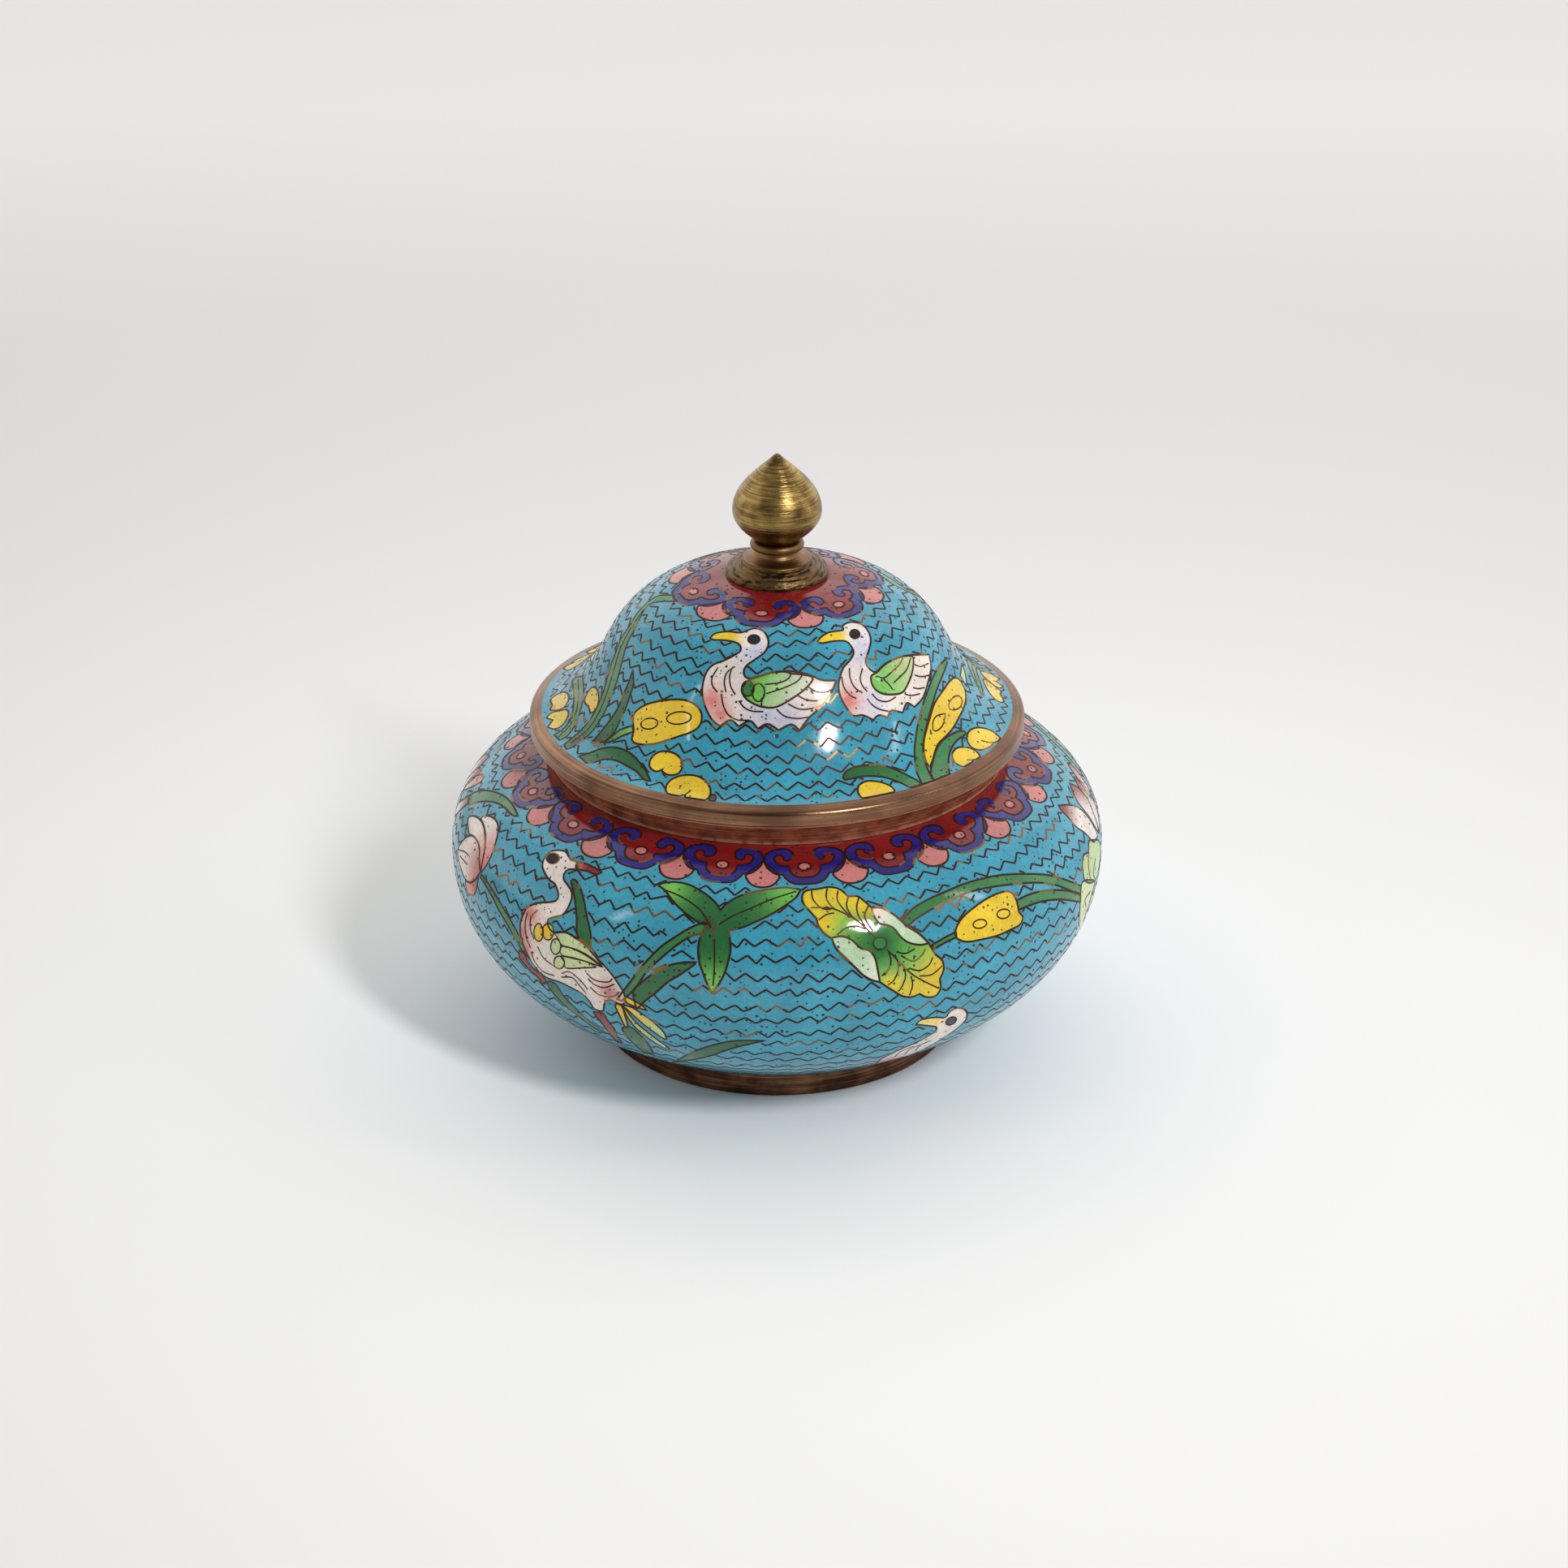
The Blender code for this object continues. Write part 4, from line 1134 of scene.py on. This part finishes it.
def draw_lotus(pattern, turn=0.0):
    """The frilled lotus leaf on the right of the bowl, its seed pod and their long stems."""
    sheet = Sheet(pattern, *LOTUS_SHEET, turn)
    sheet.cell([(690, 285), (690, 285), (750, 212), (850, 150), (960, 100), (1080, 50), (1200, 15),
                (1350, -12), (1568, -15), (1700, 8), (1838, 60), (1838, 60), (1838, 120), (1838, 120),
                (1700, 62), (1568, 40), (1400, 50), (1250, 70), (1120, 100), (1000, 150), (880, 210),
                (780, 272), (715, 325), (715, 325)], GREEN)
    sheet.cell([(1425, 155), (1425, 155), (1500, 118), (1600, 92), (1720, 88), (1838, 110), (1838, 110),
                (1838, 165), (1838, 165), (1720, 148), (1600, 158), (1510, 185), (1440, 215), (1440, 215)],
               GREEN)
    sheet.cell([(880, 440), (880, 440), (950, 400), (1035, 355), (1035, 355), (1038, 390), (1038, 390),
                (960, 428), (890, 470), (890, 470)], GREEN)
    sheet.cell([(1030, 370), (1045, 310), (1090, 250), (1150, 200), (1220, 150), (1300, 110), (1370, 95),
                (1410, 125), (1430, 180), (1440, 230), (1465, 260), (1445, 310), (1380, 345), (1300, 380),
                (1200, 405), (1110, 420), (1050, 405)], YELLOW)
    sheet.oval((1188, 305), (44, 28), YELLOW, -12.0)
    sheet.oval((1340, 240), (42, 30), YELLOW, -12.0)
    leaf = [(45, 120), (75, 90), (150, 80), (215, 68), (285, 82), (340, 128), (340, 128), (400, 128),
            (445, 160), (490, 200), (490, 200), (560, 205), (640, 250), (720, 320), (800, 370), (860, 430),
            (860, 430), (900, 500), (900, 500), (945, 540), (955, 600), (930, 660), (930, 660), (935, 720),
            (900, 770), (840, 775), (800, 755), (800, 755), (750, 775), (690, 770), (630, 735), (590, 710),
            (590, 710), (545, 680), (545, 680), (490, 665), (430, 630), (380, 580), (310, 520), (260, 460),
            (235, 400), (235, 400), (190, 370), (150, 320), (135, 270), (135, 270), (90, 220), (50, 170)]
    sheet.cell(leaf, sheet.paint(LIGHT_GREEN, spots=[
        ((545, 430), 5.0, DEEP_GREEN), ((100, 140), 3.4, YELLOW), ((290, 110), 2.8, YELLOW),
        ((430, 170), 2.2, YELLOW), ((170, 300), 2.2, YELLOW), ((920, 590), 3.2, YELLOW),
        ((900, 720), 3.2, YELLOW), ((740, 750), 3.0, YELLOW), ((610, 700), 1.8, YELLOW)]))
    right = [(490, 195), (490, 195), (560, 205), (650, 255), (730, 325), (800, 372), (860, 430), (860, 430),
             (800, 440), (730, 425), (680, 390), (640, 340), (600, 315), (540, 300), (505, 250)]
    sheet.cell(right, sheet.paint(WHITE, MINT, (520, 215), (640, 300)))
    left = [(235, 395), (235, 395), (300, 385), (365, 410), (420, 460), (480, 480), (515, 530), (530, 600),
            (545, 680), (545, 680), (470, 660), (400, 600), (330, 530), (260, 460)]
    sheet.cell(left, sheet.paint(MINT, WHITE, (420, 560), (600, 720)))
    sheet.oval((545, 430), (44, 40), GREEN)
    sheet.lines(
        [(510, 390), (430, 310), (340, 250), (230, 205), (100, 200)],
        [(590, 470), (660, 540), (740, 620), (820, 670), (925, 720)],
        [(105, 90), (115, 150), (170, 205), (230, 212)], [(205, 75), (200, 140), (240, 200), (290, 225)],
        [(275, 90), (270, 150), (310, 210), (350, 250)], [(340, 130), (330, 190), (360, 250), (400, 285)],
        [(410, 130), (395, 200), (410, 260), (450, 320)], [(470, 190), (445, 250), (470, 310), (500, 350)],
        [(150, 280), (200, 245), (250, 235)], [(270, 375), (330, 330), (400, 320), (450, 340)],
        [(600, 480), (615, 540), (600, 600), (555, 640)], [(640, 500), (665, 580), (640, 660), (595, 700)],
        [(690, 560), (710, 640), (680, 720), (660, 740)], [(745, 640), (755, 700), (735, 765)],
        [(650, 485), (710, 495), (770, 465)], [(680, 510), (760, 545), (820, 500), (835, 465)],
        [(730, 590), (800, 605), (860, 570), (885, 520)], [(800, 640), (870, 635), (920, 600), (945, 575)])


def draw_left_flower(pattern, turn=0.0):
    """The lotus bud and leaf at the far left of the bowl, and the bud's long stem."""
    sheet = Sheet(pattern, *LEFT_FLOWER_SHEET, turn)
    sheet.cell([(290, 812), (290, 812), (340, 892), (390, 982), (440, 1082), (500, 1182), (560, 1292),
                (620, 1395), (620, 1395), (648, 1390), (648, 1390), (592, 1270), (532, 1160), (472, 1060),
                (420, 970), (362, 880), (302, 800)], GREEN)
    sheet.cell([(205, 188), (205, 188), (260, 160), (340, 150), (430, 170), (500, 210), (550, 270),
                (588, 352), (588, 352), (540, 340), (490, 290), (430, 250), (350, 235), (270, 240),
                (200, 262), (200, 262)], GREEN)
    sheet.cell([(170, 130), (200, 80), (250, 40), (310, 30), (315, 60), (270, 100), (210, 130), (165, 148)],
               sheet.paint(PINK, WHITE, (290, 45), (190, 110)))
    sheet.cell([(100, 340), (120, 260), (160, 220), (204, 190), (204, 190), (198, 250), (150, 290)],
               sheet.paint(CRIMSON, WHITE, (200, 220), (120, 290)))
    sheet.cell([(180, 850), (215, 865), (255, 840), (278, 800), (272, 870), (255, 940), (235, 960),
                (200, 945), (185, 900)], sheet.paint(CRIMSON, BLUSH, (270, 820), (215, 930)))
    sheet.cell([(300, 365), (340, 345), (390, 360), (425, 400), (430, 470), (410, 560), (380, 650),
                (340, 730), (295, 790), (295, 790), (310, 700), (330, 600), (335, 500), (320, 420)],
               sheet.paint(WHITE, BLUSH, (370, 430), (345, 680)))
    sheet.cell([(207, 352), (255, 350), (300, 385), (325, 450), (330, 530), (322, 630), (295, 775),
                (295, 775), (285, 690), (288, 610), (270, 540), (235, 500), (208, 490), (208, 490),
                (198, 430), (198, 380)], sheet.paint(WHITE, BLUSH, (250, 480), (300, 700)))
    sheet.cell([(120, 610), (150, 550), (190, 510), (235, 500), (270, 540), (288, 610), (285, 690),
                (292, 780), (292, 780), (262, 830), (215, 860), (180, 840), (150, 770), (130, 700)],
               sheet.paint(WHITE, PINK, (190, 620), (265, 730)))
    sheet.lines([(122, 608), (170, 622), (202, 652)], [(135, 655), (165, 690), (192, 722)])


def draw_right_flower(pattern, turn=0.0):
    """The lotus bud and its calyx at the far right of the bowl."""
    sheet = Sheet(pattern, *RIGHT_FLOWER_SHEET, turn)
    sheet.cell([(568, 48), (568, 48), (620, 80), (680, 160), (730, 250), (762, 340), (780, 440), (782, 520),
                (782, 520), (762, 440), (730, 350), (690, 250), (640, 180), (600, 120)],
               sheet.paint(CRIMSON, WHITE, (600, 90), (740, 320)))
    sheet.cell([(530, 100), (530, 100), (590, 130), (640, 180), (690, 250), (730, 350), (760, 440),
                (775, 520), (775, 520), (735, 450), (700, 390), (650, 325), (600, 260), (560, 180)],
               sheet.paint(CRIMSON, WHITE, (580, 160), (690, 320)))
    sheet.cell([(435, 288), (435, 288), (520, 285), (590, 300), (650, 345), (700, 410), (740, 480),
                (765, 548), (730, 595), (705, 570), (660, 520), (600, 480), (560, 440), (510, 380),
                (460, 330)], sheet.paint(CRIMSON, WHITE, (500, 340), (620, 420)))
    sheet.cell([(640, 930), (700, 915), (742, 930), (720, 1020), (690, 1130), (650, 1250), (622, 1335),
                (610, 1300), (618, 1150), (625, 1020)], PALE_GREEN)
    sheet.cell([(690, 590), (730, 580), (772, 580), (788, 640), (785, 740), (770, 850), (745, 920),
                (700, 940), (660, 920), (645, 850), (640, 760), (652, 700), (690, 680)],
               sheet.paint(PALE_GREEN, LIGHT_GREEN, (690, 700), (790, 820)))
    sheet.lines([(692, 600), (690, 800), (706, 905)], [(748, 740), (732, 850), (742, 905)],
                [(705, 1010), (662, 1080), (668, 1140)])


def draw_swimmer(pattern, turn=0.0):
    """The duck that swims low on the right of the bowl, and a low blade at the front."""
    sheet = Sheet(pattern, *SWIMMER_SHEET, turn)
    body = [(345, 588), (345, 588), (385, 550), (460, 530), (540, 524), (605, 525), (640, 480), (690, 448),
            (745, 443), (785, 465), (797, 505), (780, 550), (730, 600), (660, 655), (590, 700), (520, 745),
            (460, 775), (420, 800), (300, 850), (150, 890), (0, 930), (0, 930), (40, 890), (120, 850),
            (220, 800), (330, 755), (430, 705), (500, 660), (530, 625), (520, 605), (520, 605), (440, 595),
            (390, 590)]
    sheet.cell(body, sheet.paint(WHITE, spots=[((430, 560), 1.4, YELLOW), ((530, 560), 1.4, YELLOW),
                                               ((90, 895), 2.2, BLUSH)]))
    sheet.oval((655, 555), (50, 33), BLACK, -28.0)
    sheet.lines([(480, 728), (390, 765), (335, 822)], [(440, 745), (300, 800), (245, 850)],
                [(330, 775), (220, 820), (160, 870)])
    Sheet(pattern, *WHOLE_PICTURE, turn).cell(LOW_BLADE, DEEP_GREEN)


def make_enamelled(node, pattern, closing, wires):
    """The enamelled shell with a pattern, closed by the outline closing, and the wires on it."""
    name = node + "_enamel"
    skin = make_skin(name, pattern, closing, enamel_material(name + "_coat"),
                     enamel_material(node + "_lining", LINING))
    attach(skin, "root")
    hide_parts(node)
    strips = make_wires(node + "_wires", pattern, *wires)
    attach(strips, "root")


def make_bowl(wires):
    """The enamelled bowl and its wires."""
    shell = bowl_shell()
    pattern = Pattern(shell)
    for turn in (0.0, BACK_TURN):
        draw_left_flower(pattern, turn)
        draw_right_flower(pattern, turn)
        draw_lotus(pattern, turn)
        draw_arrowhead(pattern, turn)
    draw_egret(pattern)
    draw_swimmer(pattern)
    heads = round_the_back(BOWL_HEADS, BOWL_HEAD_COUNT)
    cloud_border(pattern, heads, shell.total - BOWL_BORDER_INSET, BOWL_BORDER_HEIGHT)
    wave_rows(pattern, np.arange(BOWL_WAVES_FROM, shell.total - BOWL_WAVES_INSET, BOWL_ROWS), seed=3)
    inside = inner_outline(shell, BOWL_WALL)
    mouth = NECK_FOOT_RADIUS - NECK_WALL
    base = shell.outline[0]
    closing = np.concatenate([[base, (0.0, base[1]), (0.0, inside[-1][1])], inside[::-1][:-1],
                              [(mouth, inside[1][1]), (mouth, shell.outline[-1][1]), shell.outline[-1]]])
    make_enamelled("bowl", pattern, closing, wires)


def make_lid(wires):
    """The enamelled lid and its wires."""
    shell = lid_shell()
    pattern = Pattern(shell)
    for turn in (0.0, BACK_TURN):
        draw_left_bed(pattern, turn)
        draw_right_bed(pattern, turn)
        draw_small_duck(pattern, turn)
    draw_large_duck(pattern)
    cloud_border(pattern, LID_HEADS, LID_BORDER_TOP, LID_BORDER_HEIGHT)
    wave_rows(pattern, np.arange(LID_WAVES_FROM, shell.total - LID_WAVES_INSET, LID_ROWS), seed=5)
    inside = inner_outline(shell, LID_WALL)
    edge = shell.outline[0]
    top = shell.outline[-1]
    closing = np.concatenate([[edge, (edge[0], edge[1] - LID_WALL)], inside[::-1][1:],
                              [(0.0, inside[0][1]), (0.0, top[1]), top]])
    make_enamelled("lid", pattern, closing, wires)


def tooled(outline, step, depth, seed):
    """An outline with fine rings turned into it, up to depth deep, read every step."""
    outline = np.asarray(outline, float)
    sizes = np.hypot(*np.diff(outline, axis=0).T)
    along = np.concatenate([[0.0], np.cumsum(sizes)])
    count = max(2, int(round(along[-1] / step)))
    where = np.linspace(0.0, along[-1], count + 1)
    points = np.stack([np.interp(where, along, outline[:, k]) for k in range(2)], axis=1)
    tangent = np.gradient(points, axis=0)
    tangent /= np.hypot(tangent[:, 0], tangent[:, 1])[:, None]
    inward = np.stack([-tangent[:, 1], tangent[:, 0]], axis=1)
    cut = np.random.default_rng(seed).uniform(0.0, 1.0, len(points)) ** 2 * depth
    cut[0] = cut[-1] = 0.0
    return points + inward * cut[:, None]


def make_turned(name, node, outline, finish, turns=TURNS):
    """A turned metal piece that stands for a node. Its outline runs up the outside, in metres."""
    if outline[0][0] > MERGE:
        outline = np.concatenate([outline, outline[:1]])
    points, faces = lathe(outline, np.linspace(-math.pi, math.pi, turns, endpoint=False))
    item = mesh_object(name, points, faces, finish)
    weld(item.data)
    item.data.shade_smooth()
    item.data.set_sharp_from_angle(angle=math.radians(CREASE))
    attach(item, "root")
    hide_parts(node)


def rounded(points, radius, steps=4):
    """A run of straight sides with each corner between them rounded."""
    points = np.asarray(points, float)
    run = [points[:1]]
    for before, corner, after in zip(points, points[1:], points[2:]):
        back = before - corner
        ahead = after - corner
        cut = min(radius, 0.45 * np.hypot(*back), 0.45 * np.hypot(*ahead))
        start = corner + back / np.hypot(*back) * cut
        end = corner + ahead / np.hypot(*ahead) * cut
        t = np.linspace(0.0, 1.0, steps + 1)[:, None]
        run.append((1 - t) ** 2 * start + 2 * t * (1 - t) * corner + t * t * end)
    run.append(points[-1:])
    return np.concatenate(run)


def make_foot():
    """The dark foot ring, turned and worn lighter."""
    low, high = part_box("foot_ring")
    inner = high[0] - FOOT_WALL
    top = high[0] - FOOT_TAPER
    seat = high[2] + SEAM - SOLDER
    outside = rounded([(inner, low[2]), (high[0] - FOOT_EDGE, low[2]), (high[0], low[2] + FOOT_EDGE),
                       (top, seat), (inner, seat)], 0.20 * MM)
    made, colour, rough, relief = metal_material(
        "foot_patina", FOOT_TONES, roughness=0.42, ring=0.30 * MM, patch=4.0 * MM)
    finish = made.finish(colour, rough, relief, 0.05 * MM)
    make_turned("foot_turned", "foot_ring", tooled(outside, step=0.16 * MM, depth=0.03 * MM, seed=11), finish)


def make_neck():
    """The reddish copper collar, dusty where it meets the enamel."""
    low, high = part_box("neck_ring")
    foot = NECK_FOOT_RADIUS
    flare = high[0] - foot
    height = high[2] - low[2]
    inner = foot - NECK_WALL
    seat = low[2] - SEAM + SOLDER
    bend = (foot + NECK_BEND[0] * flare, low[2] + NECK_BEND[1] * height)
    outside = np.concatenate([[(inner, seat)], rounded([
        (foot, seat), (foot, low[2] + 0.2 * MM), bend, (high[0], high[2]), (inner, high[2])], 0.3 * MM)])
    made, colour, rough, relief = metal_material(
        "neck_patina", NECK_TONES, roughness=0.44, ring=0.35 * MM, patch=3.0 * MM)
    made.shader.inputs["Metallic"].default_value = 0.65
    dust = made.height(low[2] + 0.55 * MM, low[2] + 0.10 * MM)
    dust = made.math("MULTIPLY", dust, made.spread(made.noise(1.2 * MM), 0.35, 0.6))
    colour = made.mix(dust, colour, NECK_DUST)
    finish = made.finish(colour, made.math("MAXIMUM", rough, dust), relief, 0.04 * MM)
    make_turned("neck_turned", "neck_ring", tooled(outside, step=0.16 * MM, depth=0.02 * MM, seed=12), finish)


def make_rim():
    """The polished brown copper edge of the lid, with the lip under it."""
    low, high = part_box("lid_rim")
    ledge = high[0] - RIM_ROUND
    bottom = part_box("neck_ring")[1][2] + SEAM
    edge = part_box("lid")[1][0]
    inner = edge + SOLDER
    lip = NECK_FOOT_RADIUS - NECK_WALL - LIP_PLAY
    turn = np.radians(np.linspace(0.0, 76.0, 9))
    crown = np.stack([ledge + RIM_ROUND * np.cos(turn), bottom + RIM_FACE + RIM_ROUND * np.sin(turn)], axis=1)
    groove = [(high[0] - 0.10 * MM, bottom + 0.42 * MM), (high[0], bottom + 0.52 * MM)]
    outside = np.concatenate([
        rounded([(lip - LIP_WALL, low[2]), (lip, low[2]), (lip, bottom), (high[0] - 0.12 * MM, bottom),
                 (high[0] - 0.02 * MM, bottom + 0.14 * MM)], 0.15 * MM),
        np.array([(high[0] - 0.02 * MM, bottom + 0.34 * MM)] + groove),
        crown,
        [(inner, high[2] - 0.03 * MM), (inner, bottom + RIM_LEDGE), (lip - LIP_WALL, bottom + RIM_LEDGE)],
    ])
    made, colour, rough, relief = metal_material(
        "rim_patina", RIM_TONES, roughness=0.27, ring=0.40 * MM, patch=9.0 * MM)
    lower = made.height(bottom + 0.50 * MM, bottom + 0.05 * MM)
    colour = made.mix(made.math("MULTIPLY", lower, 0.7), colour, RIM_UNDERSIDE)
    finish = made.finish(colour, rough, relief, 0.03 * MM)
    make_turned("rim_turned", "lid_rim", outside, finish)


def make_knob():
    """The brass knob with its coarse base, smooth bell and bead, and finely ringed bud."""
    low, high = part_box("finial")
    bottom = low[2] - SEAM + SOLDER
    base_radius = high[0]
    edge_top = low[2] + KNOB_BASE_EDGE
    bell_foot = edge_top + KNOB_BASE_RISE
    bell_start = bell_foot + BELL_STEP
    bell_top = bell_start + BELL_HEIGHT
    bud_bottom = bell_top + BEAD_HEIGHT
    round_size = BEAD_HEIGHT / 2
    base = curve((base_radius, edge_top), 105.0, (BELL_RADIUS, bell_foot), 165.0, (0.3, 0.3), 12)
    bell = curve((BELL_RADIUS, bell_start), 160.0, (STEM_RADIUS, bell_top), 95.0, (0.35, 0.45), 12)
    turn = np.radians(np.linspace(-80.0, 80.0, 11))
    bead = np.stack([BEAD_RADIUS - round_size + round_size * np.cos(turn),
                     bell_top + round_size + round_size * np.sin(turn)], axis=1)
    widest = (BUD_RADIUS, bud_bottom + BUD_BELLY_HEIGHT)
    tip = (BUD_TIP_RADIUS, high[2] - BUD_TIP_RADIUS / 2)
    lower = curve((STEM_RADIUS, bud_bottom), BUD_BASE_SLOPE, widest, 90.0, BUD_LOWER_PULL, 24)
    upper = curve(widest, 90.0, tip, 180.0 - BUD_TIP_SLOPE, BUD_UPPER_PULL, 32)
    outline = np.concatenate([
        [(0.0, bottom), (base_radius - 0.05 * MM, bottom), (base_radius, bottom + 0.20 * MM)],
        tooled(base, step=0.26 * MM, depth=0.16 * MM, seed=21),
        tooled(bell, step=0.20 * MM, depth=0.02 * MM, seed=22),
        bead,
        tooled(np.concatenate([lower, upper[1:]]), step=0.14 * MM, depth=0.045 * MM, seed=23),
        [(0.0, high[2])],
    ])
    made, colour, rough, relief = metal_material(
        "knob_patina", KNOB_TONES, roughness=0.28, ring=0.13 * MM, patch=3.0 * MM)
    redder = made.height(bud_bottom + 1.4 * MM, bud_bottom - 0.2 * MM)
    colour = made.mix(made.math("MULTIPLY", redder, 0.75), colour, BUD_FOOT)
    coarse = made.height(bell_foot + 0.15 * MM, bell_foot - 0.15 * MM)
    furrows = made.rings(0.50 * MM, 0.30)
    colour = made.mix(made.math("MULTIPLY", coarse, made.spread(furrows, 0.42, 0.60)), colour,
                      FURROW_RIDGE)
    # The low parts of the furrows are painted dark: painted shade in the grooves.
    colour = made.mix(made.math("MULTIPLY", coarse, made.spread(furrows, 0.54, 0.38)), colour,
                      FURROW_SHADE)
    relief = made.math("ADD", relief, made.math("MULTIPLY", made.math("MULTIPLY", coarse, furrows), 5.0))
    rough = made.math("ADD", rough, made.math("MULTIPLY", redder, 0.08))
    finish = made.finish(colour, rough, relief, 0.05 * MM)
    make_turned("knob_turned", "finial", outline, finish, KNOB_TURNS)


def softbox(name, place, size, power, shape):
    """A soft light, aimed at the box."""
    data = bpy.data.lights.new(name, "AREA")
    data.shape = shape
    data.size, data.size_y = size
    data.energy = power
    light = bpy.data.objects.new(name, data)
    light.location = place
    light.rotation_euler = (Vector(LIGHT_AIM) - Vector(place)).to_track_quat("-Z", "Y").to_euler()
    bpy.context.collection.objects.link(light)


def make_floor():
    """The pale paper that the box stands on, with painted shade towards the camera and a painted pool of
    light round the box.
    """
    shape = bmesh.new()
    bmesh.ops.create_grid(shape, x_segments=8, y_segments=8, size=FLOOR_REACH)
    mesh = bpy.data.meshes.new("floor")
    shape.to_mesh(mesh)
    shape.free()
    floor = bpy.data.objects.new("floor", mesh)
    bpy.context.collection.objects.link(floor)
    made = Finish("floor_paper_painted_light", 0.0, 0.9)
    made.shader.inputs["Specular IOR Level"].default_value = 0.1
    parts = made.node("ShaderNodeSeparateXYZ", {}, {0: made.place})
    reach = made.node("ShaderNodeVectorMath", {"operation": "LENGTH"}, {0: made.place}).outputs["Value"]
    # Painted light: the paper's tone falls towards the camera and rises in a pool round the box.
    paper = made.mix(made.spread(parts.outputs[1], *PAPER_SPAN), (PAINTED_SHADE_NEAR,) * 3, (PAPER_FAR,) * 3)
    paper = made.mix(made.spread(reach, *POOL_SPAN), paper, (PAINTED_LIGHT_POOL,) * 3)
    mesh.materials.append(made.finish(paper))
    floor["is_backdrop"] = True


def make_room():
    """The soft light of the room, darker in front and straight above."""
    world = bpy.data.worlds.new("studio")
    world.use_nodes = True
    tree = world.node_tree
    sight = tree.nodes.new("ShaderNodeTexCoord").outputs["Generated"]
    parts = tree.nodes.new("ShaderNodeSeparateXYZ")
    tree.links.new(sight, parts.inputs[0])

    def ranged(value, low, high, start, end):
        made = tree.nodes.new("ShaderNodeMapRange")
        tree.links.new(value, made.inputs["Value"])
        for key, amount in zip(("From Min", "From Max", "To Min", "To Max"), (low, high, start, end)):
            made.inputs[key].default_value = amount
        return made

    front = ranged(parts.outputs[1], *FRONT_SPAN, ROOM_FRONT, ROOM_SIDES)
    above = ranged(parts.outputs[2], *ABOVE_SPAN, 1.0, ROOM_ABOVE)
    strength = tree.nodes.new("ShaderNodeMath")
    strength.operation = "MULTIPLY"
    tree.links.new(front.outputs[0], strength.inputs[0])
    tree.links.new(above.outputs[0], strength.inputs[1])
    tree.links.new(strength.outputs[0], tree.nodes["Background"].inputs["Strength"])
    tree.nodes["Background"].inputs["Color"].default_value = (*ROOM_LIGHT, 1.0)
    bpy.context.scene.world = world


def make_camera():
    """The camera at the photograph's viewing angle."""
    data = bpy.data.cameras.new("camera")
    camera = bpy.data.objects.new("camera", data)
    bpy.context.collection.objects.link(camera)
    tilt = math.radians(CAMERA_TILT)
    camera.location = (0.0, -CAMERA_DISTANCE * math.cos(tilt), AIM_HEIGHT + CAMERA_DISTANCE * math.sin(tilt))
    camera.rotation_euler = (math.pi / 2 - tilt, 0.0, 0.0)
    data.sensor_width = SENSOR
    data.lens = FOCAL_PIXELS / PICTURE * SENSOR
    data.shift_x = (PICTURE / 2 - AIM_PIXEL[0]) / PICTURE
    data.shift_y = (AIM_PIXEL[1] - PICTURE / 2) / PICTURE
    data.dof.use_dof = False
    bpy.context.scene.camera = camera
    bpy.context.scene.view_settings.view_transform = "Standard"


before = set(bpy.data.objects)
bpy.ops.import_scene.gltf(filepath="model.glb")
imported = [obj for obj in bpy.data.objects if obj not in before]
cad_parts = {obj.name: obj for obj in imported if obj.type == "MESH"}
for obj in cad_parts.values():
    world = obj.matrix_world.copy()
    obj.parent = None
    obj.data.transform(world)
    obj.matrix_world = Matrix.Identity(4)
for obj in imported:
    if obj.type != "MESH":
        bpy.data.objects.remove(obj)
cad_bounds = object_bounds()
make_floor()
make_room()
for light in LIGHTS:
    softbox(*light)
make_camera()
# The second, lighter wire finish is a painted glint.
wire_finishes = (wire_material("wire_tarnished", tone(66, 44, 34), 0.45),
                 wire_material("wire_painted_glint", tone(138, 100, 60), 0.36))
make_bowl(wire_finishes)
make_lid(wire_finishes)
make_foot()
make_neck()
make_rim()
make_knob()

[[list(corner) for corner in box] for box in (cad_bounds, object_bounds())]
